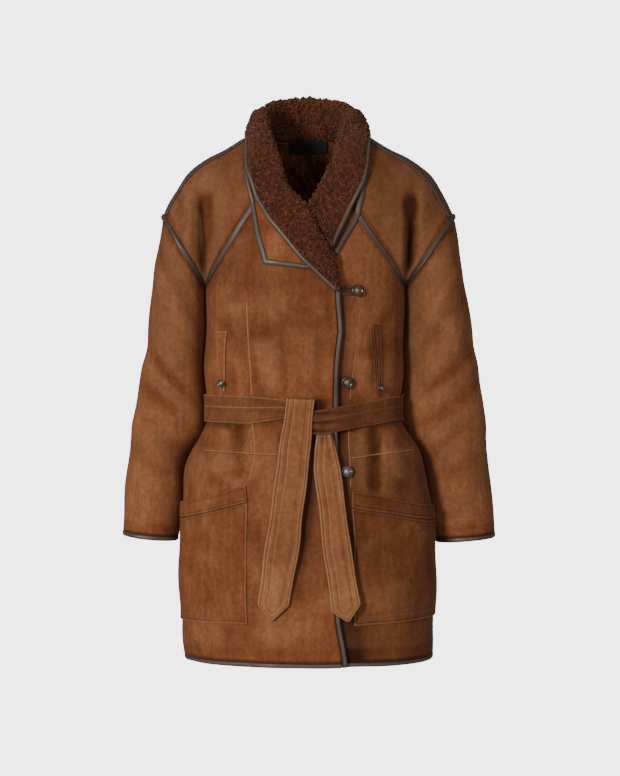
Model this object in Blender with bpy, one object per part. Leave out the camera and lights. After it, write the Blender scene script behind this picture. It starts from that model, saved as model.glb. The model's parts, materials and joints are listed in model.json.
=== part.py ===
"""A belted shearling wrap coat, filled out as it is when worn, with its neck, cuffs and hem open.

The front faces -Y and +X is to the right of someone who looks at the front. The origin is at the base of the
neck, between the shoulders, and the hem is about 0.88 m below it. Panels are walls between an outer and an inner
skin. Neighbouring panels share the points and the directions of their seam, so their walls are mitred there, and
each is set back by half the seam gap. What lies on a panel is made from the panel's own points, moved outwards.
"""

import math
from typing import NamedTuple

import bpy
import bmesh
import numpy as np
from mathutils import Vector
from mathutils.bvhtree import BVHTree

WALL = 0.006
SEAM_GAP = 0.0003
RIM_ORDER = np.array([0.37, 0.59, 0.71])
LAP_LIFT = 0.0078
LAP_FROM_X = -0.105
LAP_FULL_X = -0.050
HIDDEN_EDGE_X = -0.036

BINDING_BULGE = 0.0003
LEVEL_TOP_Z = -0.330
UNDERARM_Z = -0.250
SHOULDER_TIP = (0.247, -0.130)
ARMHOLE_HALF_DEPTH = 0.070

RAGLAN_STEPS = 8
OVER_NECK_STEPS = 10
UNDER_NECK_STEPS = 6
BACK_NECK_STEPS = 6
AROUND_HALF_SLEEVE = 8
FAN_STEPS = 5
LEVELS = (-0.869, -0.83, -0.77, -0.70, -0.64, -0.59, -0.555, -0.525, -0.50, -0.478, -0.455, -0.432, -0.405, -0.37,
          LEVEL_TOP_Z)

TAPE_HALF_WIDTH = 0.0038
TAPE_LIFT = 0.0007
TAPE_THICKNESS = 0.0013


class Section(NamedTuple):
    """One level of the body: half widths to each side, and half depths to the front and the back."""

    z: float
    left: float
    right: float
    front: float
    back: float


BODY = (
    Section(-0.877, 0.2080, 0.2095, 0.130, 0.132),
    Section(-0.845, 0.2125, 0.2115, 0.131, 0.132),
    Section(-0.779, 0.2160, 0.2130, 0.130, 0.131),
    Section(-0.670, 0.2160, 0.2110, 0.127, 0.128),
    Section(-0.604, 0.2125, 0.2060, 0.123, 0.124),
    Section(-0.549, 0.2065, 0.1950, 0.116, 0.116),
    Section(-0.527, 0.1980, 0.1880, 0.111, 0.111),
    Section(-0.506, 0.1860, 0.1755, 0.105, 0.105),
    Section(-0.480, 0.1735, 0.1600, 0.099, 0.099),
    Section(-0.455, 0.1720, 0.1550, 0.097, 0.097),
    Section(-0.430, 0.1735, 0.1560, 0.100, 0.099),
    Section(-0.390, 0.1755, 0.1600, 0.108, 0.106),
    Section(-0.340, 0.1740, 0.1610, 0.114, 0.113),
    Section(-0.250, 0.1725, 0.1630, 0.115, 0.120),
    Section(-0.180, 0.1735, 0.1650, 0.111, 0.122),
    Section(-0.107, 0.1760, 0.1680, 0.099, 0.117),
    Section(-0.040, 0.1780, 0.1700, 0.080, 0.102),
    Section(0.030, 0.1800, 0.1720, 0.062, 0.078),
)
BODY_POWER = 2.5


class Fold(NamedTuple):
    """A crease that runs from one point of the front view to another; a positive height stands out."""

    x_top: float
    z_top: float
    x_bottom: float
    z_bottom: float
    half_width: float
    height: float


FRONT_FOLDS = (
    Fold(-0.107, -0.482, -0.113, -0.575, 0.013, -0.0060),
    Fold(-0.140, -0.485, -0.152, -0.560, 0.015, 0.0040),
    Fold(0.105, -0.484, 0.110, -0.595, 0.013, -0.0060),
    Fold(0.135, -0.485, 0.150, -0.570, 0.014, 0.0040),
    Fold(-0.075, -0.340, -0.060, -0.430, 0.020, 0.0030),
    Fold(-0.135, -0.300, -0.128, -0.425, 0.017, -0.0035),
    Fold(0.130, -0.290, 0.126, -0.425, 0.017, -0.0035),
    Fold(0.095, -0.370, 0.088, -0.430, 0.016, 0.0030),
)
BACK_FOLDS = (
    Fold(-0.118, -0.482, -0.130, -0.590, 0.014, -0.0060),
    Fold(-0.055, -0.482, -0.062, -0.610, 0.018, 0.0045),
    Fold(0.020, -0.484, 0.024, -0.560, 0.015, -0.0045),
    Fold(0.075, -0.482, 0.086, -0.620, 0.018, 0.0045),
    Fold(0.128, -0.484, 0.138, -0.575, 0.014, -0.0050),
    Fold(-0.095, -0.300, -0.080, -0.430, 0.020, -0.0040),
    Fold(0.090, -0.310, 0.078, -0.430, 0.020, -0.0040),
)


class Place(NamedTuple):
    """A point of the front view."""

    x: float
    z: float


SHOULDER_LINE = (
    Place(0.080, 0.0205),
    Place(0.118, -0.0030),
    Place(0.142, -0.0170),
    Place(0.170, -0.0306),
    Place(0.1905, -0.0442),
    Place(0.206, -0.0578),
    Place(0.2235, -0.0850),
    Place(0.239, -0.1122),
    Place(*SHOULDER_TIP),
)
OVER_NECKLINE = (
    Place(-0.0827, -0.1066),
    Place(-0.0548, -0.1181),
    Place(-0.0302, -0.1362),
    Place(0.0010, -0.1804),
    Place(0.0190, -0.2051),
    Place(0.0354, -0.2313),
    Place(0.0460, -0.2570),
)
UNDER_NECKLINE = (
    Place(0.0633, -0.1132),
    Place(0.0453, -0.1329),
    Place(0.0321, -0.1526),
    Place(0.0206, -0.1722),
    Place(0.0026, -0.1952),
    Place(-0.0204, -0.2247),
    Place(HIDDEN_EDGE_X, -0.2450),
)
BACK_NECK = Place(0.052, 0.0060)
OVER_EDGE = (
    Place(0.0480, -0.8690),
    Place(0.0425, -0.8330),
    Place(0.0400, -0.7921),
    Place(0.0407, -0.6044),
    Place(0.0420, -0.5065),
    Place(0.0405, -0.4477),
    Place(0.0455, -0.3596),
    Place(0.0490, -0.2700),
    Place(0.0460, -0.2570),
)


class ArmSection(NamedTuple):
    """One section of a sleeve: its outer and inner points in the front view, and its half depth and middle in Y."""

    outer_x: float
    outer_z: float
    inner_x: float
    inner_z: float
    half_depth: float
    middle_y: float


LEFT_ARM = (
    ArmSection(-0.2470, -0.1300, -0.1725, -0.2500, 0.0700, 0.000),
    ArmSection(-0.2590, -0.2180, -0.1746, -0.3100, 0.0725, 0.010),
    ArmSection(-0.2735, -0.3260, -0.1762, -0.3900, 0.0715, 0.028),
    ArmSection(-0.2825, -0.3800, -0.1768, -0.4300, 0.0692, 0.037),
    ArmSection(-0.2915, -0.4350, -0.1753, -0.4700, 0.0665, 0.042),
    ArmSection(-0.2970, -0.4680, -0.1803, -0.5000, 0.0640, 0.043),
    ArmSection(-0.3020, -0.5000, -0.1955, -0.5250, 0.0610, 0.042),
    ArmSection(-0.3065, -0.5350, -0.2070, -0.5550, 0.0585, 0.040),
    ArmSection(-0.3100, -0.5700, -0.2110, -0.5850, 0.0560, 0.037),
    ArmSection(-0.3160, -0.6300, -0.2165, -0.6350, 0.0525, 0.032),
    ArmSection(-0.3175, -0.6610, -0.2225, -0.6710, 0.0505, 0.028),
)
RIGHT_ARM = (
    ArmSection(0.2470, -0.1300, 0.1630, -0.2500, 0.0700, 0.000),
    ArmSection(0.2600, -0.2180, 0.1632, -0.3100, 0.0725, 0.010),
    ArmSection(0.2800, -0.3260, 0.1607, -0.3900, 0.0715, 0.028),
    ArmSection(0.2895, -0.3800, 0.1598, -0.4300, 0.0692, 0.037),
    ArmSection(0.2975, -0.4350, 0.1600, -0.4700, 0.0665, 0.042),
    ArmSection(0.3000, -0.4680, 0.1695, -0.5000, 0.0640, 0.043),
    ArmSection(0.3020, -0.5000, 0.1857, -0.5250, 0.0610, 0.042),
    ArmSection(0.3055, -0.5350, 0.1965, -0.5550, 0.0585, 0.040),
    ArmSection(0.3085, -0.5700, 0.2025, -0.5850, 0.0560, 0.037),
    ArmSection(0.3160, -0.6300, 0.2110, -0.6350, 0.0525, 0.032),
    ArmSection(0.3190, -0.6610, 0.2185, -0.6700, 0.0505, 0.028),
)
ARM_ROWS = 17


class ArmFold(NamedTuple):
    """A crease across a sleeve: its share of the length, the angle it faces and its height."""

    place: float
    facing: float
    height: float


ARM_FOLDS = (
    ArmFold(0.22, 1.25, 0.0040),
    ArmFold(0.47, 0.95, -0.0045),
    ArmFold(0.58, 1.35, -0.0040),
    ArmFold(0.72, 1.10, 0.0030),
)


class CollarRow(NamedTuple):
    """One section of the collar: where its foot is along the neck edge, its roll, its free edge and its thickness."""

    along: float
    roll: tuple
    edge: tuple
    bulk: float


COLLAR_OVER_HALF = (
    CollarRow(0.527, (-0.002, 0.098, 0.086), (-0.002, 0.124, -0.004), 0.0110),
    CollarRow(0.472, (-0.052, 0.078, 0.080), (-0.080, 0.100, 0.002), 0.0110),
    CollarRow(0.427, (-0.076, 0.030, 0.066), (-0.0985, 0.052, 0.012), 0.0110),
    CollarRow(0.378, (-0.074, -0.020, 0.046), (-0.1020, -0.002, 0.018), 0.0110),
    CollarRow(0.317, (-0.059, -0.058, 0.000), (-0.0990, -0.060, -0.008), 0.0105),
)
COLLAR_UNDER_HALF = (
    CollarRow(0.485, (-0.002, 0.098, 0.086), (-0.002, 0.124, -0.004), 0.0110),
    CollarRow(0.437, (0.047, 0.078, 0.080), (0.076, 0.100, 0.002), 0.0110),
    CollarRow(0.395, (0.071, 0.030, 0.066), (0.0945, 0.052, 0.014), 0.0110),
    CollarRow(0.344, (0.069, -0.020, 0.046), (0.0980, -0.002, 0.020), 0.0110),
    CollarRow(0.285, (0.053, -0.052, 0.006), (0.0965, -0.058, -0.006), 0.0105),
)


class LapelRow(NamedTuple):
    """A section of the collar where it lies on a front: the foot's run, and the roll and the edge in front view."""

    along: float
    roll: Place
    edge: Place
    bulk: float


LAPEL_OVER = (
    LapelRow(0.232, Place(-0.0415, -0.0660), Place(-0.0890, -0.0790), 0.0100),
    LapelRow(0.184, Place(-0.0285, -0.0940), Place(-0.0700, -0.1230), 0.0100),
    LapelRow(0.145, Place(-0.0056, -0.1186), Place(-0.0490, -0.1530), 0.0100),
    LapelRow(0.109, Place(0.0123, -0.1520), Place(-0.0300, -0.1780), 0.0100),
    LapelRow(0.071, Place(0.0300, -0.1870), Place(-0.0075, -0.2045), 0.0095),
    LapelRow(0.036, Place(0.0460, -0.2180), Place(0.0165, -0.2290), 0.0090),
    LapelRow(0.004, Place(0.0530, -0.2440), Place(0.0385, -0.2500), 0.0080),
)
LAPEL_UNDER = (
    LapelRow(0.219, Place(0.0375, -0.0460), Place(0.0865, -0.0720), 0.0100),
    LapelRow(0.187, Place(0.0245, -0.0737), Place(0.0755, -0.1015), 0.0100),
    LapelRow(0.160, Place(0.0125, -0.0950), Place(0.0600, -0.1310), 0.0095),
    LapelRow(0.110, Place(0.0024, -0.1160), Place(0.0400, -0.1800), 0.0090),
)
OVER_FOOT_LIFT = 0.0042
OVER_FALL_LIFT = 0.0175
UNDER_FOOT_LIFT = -0.0030
UNDER_FALL_LIFT = 0.0088
PIPING_RADIUS = 0.0034
FOOT_GAP = 0.0006
SEAM_LEAD = 0.006
ARC_STEPS = 5

FLAP_OUTER = (
    Place(-0.1060, -0.0260),
    Place(-0.1022, -0.0793),
    Place(-0.0907, -0.1383),
    Place(-0.0809, -0.1792),
    Place(-0.0727, -0.2190),
)
FLAP_INNER = (
    Place(-0.0925, -0.0300),
    Place(-0.0895, -0.0790),
    Place(-0.0720, -0.1270),
    Place(-0.0370, -0.1660),
    Place(0.0150, -0.2290),
)
FLAP_ROWS = 10
FLAP_COLUMNS = (0.25, 0.5, 0.75, 1.0)
FLAP_LIFT = 0.0025
FLAP_THICKNESS = 0.0020
FLAP_TAPE_WIDTH = 0.0075
FLAP_TAPE_COLUMNS = 4
FLAP_TAPE_LIFT = 0.0011
NECK_TAPE = (
    Place(0.1010, -0.0130),
    Place(0.0985, -0.0330),
    Place(0.0952, -0.0600),
    Place(0.0900, -0.0880),
    Place(0.0856, -0.1120),
    Place(0.0798, -0.1357),
    Place(0.0610, -0.1710),
    Place(0.0430, -0.2030),
)
RAGLAN_TAPE_STOP = 0.010
NECK_TAPE_LIFT = 0.0013


class Strap(NamedTuple):
    """A place across a strap or a pocket in front view: its X, and the heights of its upper and lower edges."""

    x: float
    top: float
    bottom: float


BELT_LIFT = 0.0016
BELT_OVER_EDGE_LIFT = 0.0022
BELT_THICKNESS = 0.0035
BELT_BACK = Strap(0.0, -0.4315, -0.4790)
BELT_LEFT = (
    Strap(-0.1740, -0.4315, -0.4790),
    Strap(-0.0919, -0.4350, -0.4808),
    Strap(-0.0418, -0.4395, -0.4725),
    Strap(-0.0120, -0.4415, -0.4700),
)
BELT_RIGHT = (
    Strap(-0.0085, -0.4600, -0.4990),
    Strap(0.0180, -0.4582, -0.4975),
    Strap(0.0850, -0.4462, -0.4865),
    Strap(0.1520, -0.4336, -0.4750),
    Strap(0.1600, -0.4335, -0.4745),
)
RAMP_FROM_X = 0.055
RAMP_TO_X = 0.095


class TailRow(NamedTuple):
    """A place down a hanging end of the belt: its left and right edges in front view, and how far out it hangs."""

    left: Place
    right: Place
    lift: float


LEFT_TAIL = (
    TailRow(Place(-0.0330, -0.4398), Place(0.0120, -0.4425), 0.0062),
    TailRow(Place(-0.0375, -0.4560), Place(0.0100, -0.4600), 0.0062),
    TailRow(Place(-0.0418, -0.4740), Place(0.0078, -0.4780), 0.0062),
    TailRow(Place(-0.0450, -0.5020), Place(0.0050, -0.5040), 0.0062),
    TailRow(Place(-0.0500, -0.5450), Place(0.0005, -0.5480), 0.0045),
    TailRow(Place(-0.0582, -0.6037), Place(-0.0055, -0.6037), 0.0030),
    TailRow(Place(-0.0665, -0.6620), Place(-0.0135, -0.6640), 0.0025),
    TailRow(Place(-0.0742, -0.7170), Place(-0.0223, -0.7190), 0.0030),
    TailRow(Place(-0.0820, -0.7713), Place(-0.0316, -0.7739), 0.0040),
    TailRow(Place(-0.0610, -0.7965), Place(-0.0540, -0.7972), 0.0045),
)
RIGHT_TAIL = (
    TailRow(Place(0.0130, -0.4984), Place(0.0401, -0.4944), 0.0022),
    TailRow(Place(0.0100, -0.5200), Place(0.0450, -0.5180), 0.0020),
    TailRow(Place(0.0091, -0.5536), Place(0.0522, -0.5536), 0.0020),
    TailRow(Place(0.0128, -0.5950), Place(0.0575, -0.5950), 0.0020),
    TailRow(Place(0.0173, -0.6366), Place(0.0629, -0.6366), 0.0020),
    TailRow(Place(0.0240, -0.6870), Place(0.0702, -0.6820), 0.0025),
    TailRow(Place(0.0310, -0.7360), Place(0.0777, -0.7280), 0.0030),
    TailRow(Place(0.0380, -0.7833), Place(0.0850, -0.7719), 0.0035),
    TailRow(Place(0.0625, -0.8005), Place(0.0695, -0.7985), 0.0035),
)

POCKET_LIFT = 0.0008
POCKET_THICKNESS = 0.0050
BAND_THICKNESS = 0.0065
POCKET_SIDE_ANGLE = 0.030
LEFT_POCKET_INNER_X = -0.1007
RIGHT_POCKET_INNER_X = 0.0716
LEFT_BAND = (Strap(-0.2130, -0.6130, -0.6388), Strap(-0.1007, -0.5815, -0.6090))
LEFT_POCKET = (Strap(-0.2130, -0.6393, -0.8090), Strap(-0.1007, -0.6095, -0.8064))
RIGHT_BAND = (Strap(0.0716, -0.5892, -0.6166), Strap(0.2060, -0.6180, -0.6418))
RIGHT_POCKET = (Strap(0.0716, -0.6171, -0.8094), Strap(0.2060, -0.6423, -0.8035))

WELT_LIFT = 0.0007
WELT_THICKNESS = 0.0030
LEFT_WELT = (
    (Place(-0.1508, -0.3276), Place(-0.1343, -0.3276)),
    (Place(-0.1492, -0.3530), Place(-0.1355, -0.3530)),
    (Place(-0.1478, -0.3780), Place(-0.1368, -0.3780)),
    (Place(-0.1464, -0.4030), Place(-0.1378, -0.4030)),
    (Place(-0.1448, -0.4275), Place(-0.1388, -0.4275)),
)
RIGHT_WELT = (
    (Place(0.1038, -0.3161), Place(0.1158, -0.3161)),
    (Place(0.1064, -0.3460), Place(0.1174, -0.3460)),
    (Place(0.1090, -0.3760), Place(0.1190, -0.3760)),
    (Place(0.1116, -0.4060), Place(0.1206, -0.4060)),
    (Place(0.1143, -0.4360), Place(0.1223, -0.4360)),
)


class Ring(NamedTuple):
    """One ring of a button: its radius and its height above the panel."""

    radius: float
    height: float


BUTTON = (Ring(0.0030, 0.0004), Ring(0.0030, 0.0044), Ring(0.0086, 0.0046), Ring(0.0100, 0.0056),
          Ring(0.0097, 0.0072), Ring(0.0070, 0.0087), Ring(0.0030, 0.0092))
BUTTON_SIDES = 12
BUTTON_PLACES = (Place(0.0787, -0.2625), Place(0.0637, -0.4113), Place(0.0614, -0.5588))
SMALL_BUTTON = (Ring(0.0056, 0.0042), Ring(0.0065, 0.0050), Ring(0.0060, 0.0064), Ring(0.0030, 0.0074))
SMALL_BUTTON_SIDES = 10
SMALL_BUTTON_PLACES = (Place(-0.1420, -0.4130), Place(0.1172, -0.4211))
LOOP_RADIUS = 0.0016
LOOP_LIFT = 0.0022
LOOP_START_X = 0.0590
LOOP_HALF_WIDTH = 0.0050
TAB_CORNERS = ((Place(0.0700, -0.4080), Place(0.0775, -0.4100)), (Place(0.0700, -0.4170), Place(0.0775, -0.4150)))
TAB_LIFT = 0.0006
TAB_THICKNESS = 0.0016

BINDING_HALF_WIDTH = 0.0034
HEM_BINDING_HALF_WIDTH = 0.0040
CUFF_BINDING_HALF_WIDTH = 0.0042
BINDING_HALF_THICKNESS = WALL / 2 + BINDING_BULGE
BINDING_SECTION = ((-1.0, -1.0), (0.4, -1.0), (1.0, -0.4), (1.0, 0.4), (0.4, 1.0), (-1.0, 1.0))
BINDING_TOP_CUT = 0.006

LABEL_LEFT_X = -0.0357
LABEL_RIGHT_X = 0.0340
LABEL_TOP_Z = 0.0040
LABEL_BOTTOM_Z = -0.0134
SIZE_TAB_LEFT_X = -0.0061
SIZE_TAB_RIGHT_X = 0.0026
SIZE_TAB_BOTTOM_Z = -0.0221
LABEL_LIFT = 0.0006
LABEL_THICKNESS = 0.0011
COLLAR_CLEARANCE = 0.0082
FLAP_CLEARANCE = 0.0108
PIPING_SIDES = 6
BESIDE = 0.010
PIPING_GAP = 0.0010


def mix(a, b, share):
    return a + (b - a) * share


def smooth_step(value):
    value = np.clip(value, 0.0, 1.0)
    return value * value * (3.0 - 2.0 * value)


def unit(vectors):
    return vectors / np.maximum(np.linalg.norm(vectors, axis=-1, keepdims=True), 1e-12)


def through(xs, ys, at):
    """A smooth curve through the points (xs, ys), read at the given places: cubic, with three-point slopes."""
    xs, ys, at = np.asarray(xs, float), np.asarray(ys, float), np.asarray(at, float)
    slopes = np.gradient(ys, xs, axis=0)
    k = np.clip(np.searchsorted(xs, at) - 1, 0, len(xs) - 2)
    width = xs[k + 1] - xs[k]
    t = np.clip((at - xs[k]) / width, 0.0, 1.0)
    if ys.ndim > 1:
        t, width = t[..., None], width[..., None]
    h00, h10 = (1 + 2 * t) * (1 - t) ** 2, t * (1 - t) ** 2
    h01, h11 = t * t * (3 - 2 * t), t * t * (t - 1)
    return h00 * ys[k] + h10 * width * slopes[k] + h01 * ys[k + 1] + h11 * width * slopes[k + 1]


def body_sizes(z):
    """The middle in X, the half width, and the front and back half depths of the body at height z."""
    table = np.array(BODY)
    left, right, front, back = (through(table[:, 0], table[:, c], z) for c in range(1, 5))
    return (right - left) / 2, (right + left) / 2, front, back


def crease_height(folds, x, z):
    """The sum of the folds at (x, z): each is a bell across its line that fades in and out along it."""
    total = np.zeros(np.broadcast(x, z).shape)
    for fold in folds:
        share = (z - fold.z_top) / (fold.z_bottom - fold.z_top)
        across = (x - mix(fold.x_top, fold.x_bottom, share)) / fold.half_width
        fade = smooth_step(share / 0.2 + 0.3) * smooth_step((1.15 - share) / 0.35)
        total = total + fold.height * np.exp(-across * across) * fade
    return total


def body_point(angle, z):
    """Points of the body's outer skin: angle 0 is at the +X side, pi/2 at the front and 3 pi/2 at the back."""
    middle, half_width, front, back = body_sizes(z)
    c, s = np.cos(angle), np.sin(angle)
    x = middle + half_width * np.sign(c) * np.abs(c) ** (2 / BODY_POWER)
    reach = np.abs(s) ** (2 / BODY_POWER)
    is_front = s > 0
    depth = np.where(is_front, front, back) * reach
    crease = np.where(is_front, crease_height(FRONT_FOLDS, x, z), crease_height(BACK_FOLDS, x, z))
    depth = depth + crease * smooth_step(reach * 1.6)
    return np.stack(np.broadcast_arrays(x, np.where(is_front, -depth, depth), z), axis=-1)


def angle_at(x, z, is_front=True):
    """The angle at which the body's section at height z has that X."""
    middle, half_width, _, _ = body_sizes(z)
    share = np.clip((x - middle) / half_width, -1.0, 1.0)
    angle = np.arccos(np.sign(share) * np.abs(share) ** (BODY_POWER / 2))
    return angle if is_front else 2 * math.pi - angle


def lap(points):
    """Moves the front that laps over outwards, by the thickness of the front beneath it."""
    lifted = points.copy()
    share = smooth_step((points[..., 0] - LAP_FROM_X) / (LAP_FULL_X - LAP_FROM_X))
    lifted[..., 1] -= LAP_LIFT * share
    return lifted


def along_line(places, steps):
    """Evenly spaced points on a line through places of the front view, as an array of x and z."""
    line = np.array(places, float)
    run = np.concatenate([[0.0], np.cumsum(np.linalg.norm(np.diff(line, axis=0), axis=1))])
    return through(run, line, np.linspace(0.0, run[-1], steps + 1))


def raglan_line(side, is_front, end):
    """Angles and heights of a raglan seam, from under the arm to its end beside the neck."""
    underarm_angle = 0.0 if side > 0 else math.pi
    if side > 0 and not is_front:
        underarm_angle = 2 * math.pi
    last = float(angle_at(end.x, end.z, is_front))
    angles = np.linspace(underarm_angle, last, RAGLAN_STEPS + 1)
    x = body_point(angles, np.full_like(angles, UNDERARM_Z))[..., 0]
    share = (x - x[0]) / (x[-1] - x[0])
    return angles, mix(UNDERARM_Z, end.z, share)


class Patch:
    """A grid of points on the outer skin with their outward directions, and the shift that opens its seams."""

    def __init__(self, points, core, is_ring=False):
        self.points = points
        self.is_ring = is_ring
        if is_ring:
            wrapped = np.concatenate([points[:, -1:], points, points[:, :1]], axis=1)
            across = np.gradient(wrapped, axis=1)[:, 1:-1]
        else:
            across = np.gradient(points, axis=1)
        normals = unit(np.cross(across, np.gradient(points, axis=0)))
        facing = np.sum(normals * (points - core))
        self.is_turned = facing < 0
        self.normals = -normals if self.is_turned else normals
        self.shift = np.zeros_like(points)

    def open_seams(self, gap):
        """Sets each border back by half the gap, at right angles to the seam and to the outward direction."""
        borders = [((0, slice(None)), (1, slice(None))), ((-1, slice(None)), (-2, slice(None)))]
        if not self.is_ring:
            borders += [((slice(None), 0), (slice(None), 1)), ((slice(None), -1), (slice(None), -2))]
        for border, beside in borders:
            along = unit(np.gradient(self.points[border], axis=0))
            away = np.cross(along, self.normals[border])
            for end, neighbour in ((0, 1), (-1, -2)):
                if np.linalg.norm(away[end]) < 0.7:
                    away[end] = away[neighbour]
            away = unit(away)
            inwards = np.sum(away * (self.points[beside] - self.points[border]))
            self.shift[border] += away * (math.copysign(gap / 2, inwards))

    def skin(self, lift):
        """The grid moved out by lift, with its seams open."""
        return self.points + self.shift + self.normals * lift


def share_normals(patches, pinned):
    """Gives the points that panels share one outward direction, the mean of theirs, or the pinned one."""
    sums = {}
    for patch in patches:
        for point, normal in zip(patch.points.reshape(-1, 3), patch.normals.reshape(-1, 3)):
            key = tuple(np.round(point, 5))
            sums[key] = sums.get(key, 0.0) + normal
    for patch in patches:
        flat = patch.normals.reshape(-1, 3)
        for i, point in enumerate(patch.points.reshape(-1, 3)):
            flat[i] = unit(sums[tuple(np.round(point, 5))])
            for place, direction in pinned:
                if np.linalg.norm(point - place) < 0.002:
                    flat[i] = direction


def panel_grid(level_angles, top_angles, top_z):
    """The angles and heights of a panel's grid: level rows, and above them rows that fan out to its top edge."""
    levels = np.array(LEVELS)
    fan = np.linspace(0.0, 1.0, FAN_STEPS + 1)[1:, None]
    fan_angles = mix(level_angles[-1], top_angles, smooth_step(fan) * 0.4 + fan * 0.6)
    level_z = np.broadcast_to(levels[:, None], level_angles.shape)
    return np.concatenate([level_angles, fan_angles]), np.concatenate([level_z, mix(LEVEL_TOP_Z, top_z, fan)])


def over_edge_x(z):
    table = np.array(OVER_EDGE)
    return through(table[:, 1], table[:, 0], z)


def make_front(side):
    """The front of one side; the one at -X laps over the other."""
    end = OVER_NECKLINE[0] if side < 0 else UNDER_NECKLINE[0]
    raglan_angles, raglan_z = raglan_line(side, True, end)
    steps = OVER_NECK_STEPS if side < 0 else UNDER_NECK_STEPS
    neckline = along_line(OVER_NECKLINE if side < 0 else UNDER_NECKLINE, steps)[1:]
    top_angles = np.concatenate([raglan_angles, angle_at(neckline[:, 0], neckline[:, 1])])
    top_z = np.concatenate([raglan_z, neckline[:, 1]])
    levels = np.array(LEVELS)
    edge_x = over_edge_x(levels) if side < 0 else np.full(len(levels), HIDDEN_EDGE_X)
    side_angle = math.pi if side < 0 else 0.0
    level_angles = mix(side_angle, angle_at(edge_x, levels)[:, None], np.linspace(0.0, 1.0, len(top_angles)))
    points = body_point(*panel_grid(level_angles, top_angles, top_z))
    if side < 0:
        points = lap(points)
    return Patch(points, points * [0.0, 0.0, 1.0])


def make_back():
    """The back, from side seam to side seam, up to the raglan seams and the neck."""
    left_angles, left_z = raglan_line(-1, False, Place(-BACK_NECK.x, BACK_NECK.z))
    right_angles, right_z = raglan_line(1, False, BACK_NECK)
    share = np.linspace(0.0, 1.0, BACK_NECK_STEPS + 1)[1:-1]
    neck_angles = mix(left_angles[-1], right_angles[-1], share)
    top_angles = np.concatenate([left_angles, neck_angles, right_angles[::-1]])
    top_z = np.concatenate([left_z, np.full(len(share), BACK_NECK.z), right_z[::-1]])
    around = np.linspace(math.pi, 2 * math.pi, len(top_angles))
    level_angles = np.broadcast_to(around, (len(LEVELS), len(around)))
    points = body_point(*panel_grid(level_angles, top_angles, top_z))
    return Patch(points, points * [0.0, 0.0, 1.0])


def make_yoke(side, is_front):
    """The part between the neck, the shoulder line, the armhole and the raglan seam.

    Rows run from the neck to the armhole and columns from the shoulder line to the raglan seam. Each row is an
    arc of an ellipse: a quarter of one beside the neck and half of one round the armhole.
    """
    if is_front:
        end = OVER_NECKLINE[0] if side < 0 else UNDER_NECKLINE[0]
    else:
        end = Place(side * BACK_NECK.x, BACK_NECK.z)
    angles, z = raglan_line(side, is_front, end)
    seam = body_point(angles, z)
    if side < 0 and is_front:
        seam = lap(seam)
    seam = seam[::-1]
    ridge_line = along_line(SHOULDER_LINE, RAGLAN_STEPS)
    ridge = np.stack([side * ridge_line[:, 0], np.zeros(RAGLAN_STEPS + 1), ridge_line[:, 1]], axis=-1)
    facing = -1.0 if is_front else 1.0
    row = np.linspace(0.0, 1.0, RAGLAN_STEPS + 1)[:, None]
    turn = mix(math.pi / 2, math.pi, smooth_step(row))
    half_depth = mix(abs(seam[0, 1]), ARMHOLE_HALF_DEPTH, smooth_step(row))
    half_depth = half_depth - 0.45 * smooth_step(row) * np.abs(seam[:, None, 1])
    b = np.linspace(0.0, 1.0, AROUND_HALF_SLEEVE + 1)[None, :]
    share = (1 - np.cos(turn * b)) / (1 - np.cos(turn))
    x = mix(ridge[:, None, 0], seam[:, None, 0], share)
    z = mix(ridge[:, None, 2], seam[:, None, 2], share)
    y = facing * half_depth * np.sin(turn * b)
    y = y + (seam[:, None, 1] - facing * half_depth * np.sin(turn)) * share
    points = np.stack([x, y, z], axis=-1)
    crease = 0.010 if is_front else 0.007
    line_x = side * 0.170
    depth = crease * np.exp(-(((x - line_x) / 0.017) ** 2))
    depth = depth * smooth_step((-0.075 - z) / 0.05) * smooth_step((1 - row) / 0.25) * smooth_step((1 - b) / 0.3)
    points[..., 1] -= facing * depth
    core = np.array([side * 0.15, 0.0, -0.20])
    return Patch(points, core)


def arm_sections(side, rows):
    """The sleeve's sections at evenly spaced rows, as an array with a column for each size."""
    table = np.array(LEFT_ARM if side < 0 else RIGHT_ARM)
    run = np.concatenate([[0.0], np.cumsum(np.linalg.norm(np.diff(table[:, :2], axis=0), axis=1))])
    return through(run, table, np.linspace(0.0, run[-1], rows + 1)), run[-1]


def make_sleeve(side):
    """The sleeve, as rings from the slanted armhole to the cuff, with soft creases across its front."""
    sections, length = arm_sections(side, ARM_ROWS)
    outer_x, outer_z, inner_x, inner_z, half_depth, middle_y = (sections[:, c, None] for c in range(6))
    turn = np.linspace(0.0, 2 * math.pi, 2 * AROUND_HALF_SLEEVE, endpoint=False)[None, :]
    share = (1 - np.cos(turn)) / 2
    x = mix(outer_x, inner_x, share)
    z = mix(outer_z, inner_z, share)
    y = middle_y - half_depth * np.sin(turn)
    points = np.stack([x, y, z], axis=-1)
    core = np.stack([(outer_x + inner_x) / 2, middle_y, (outer_z + inner_z) / 2], axis=-1)
    outwards = unit(points - core)
    down = np.linspace(0.0, length, ARM_ROWS + 1)[:, None]
    for fold in ARM_FOLDS:
        across = (down - fold.place * length + 0.03 * np.cos(turn)) / 0.024
        around = smooth_step((np.cos(turn - fold.facing) + 0.1) / 1.1)
        points = points + outwards * (fold.height * np.exp(-across * across) * around)[..., None]
    armhole = np.stack([x[0], y[0], z[0]], axis=-1)
    points[0] = armhole
    return Patch(points, core, is_ring=True)


def make_material(name, colour, roughness, metallic=0.0):
    material = bpy.data.materials.new(name)
    material.use_nodes = True
    surface = material.node_tree.nodes["Principled BSDF"]
    surface.inputs["Base Color"].default_value = (*colour, 1.0)
    surface.inputs["Roughness"].default_value = roughness
    surface.inputs["Metallic"].default_value = metallic
    return material


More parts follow.
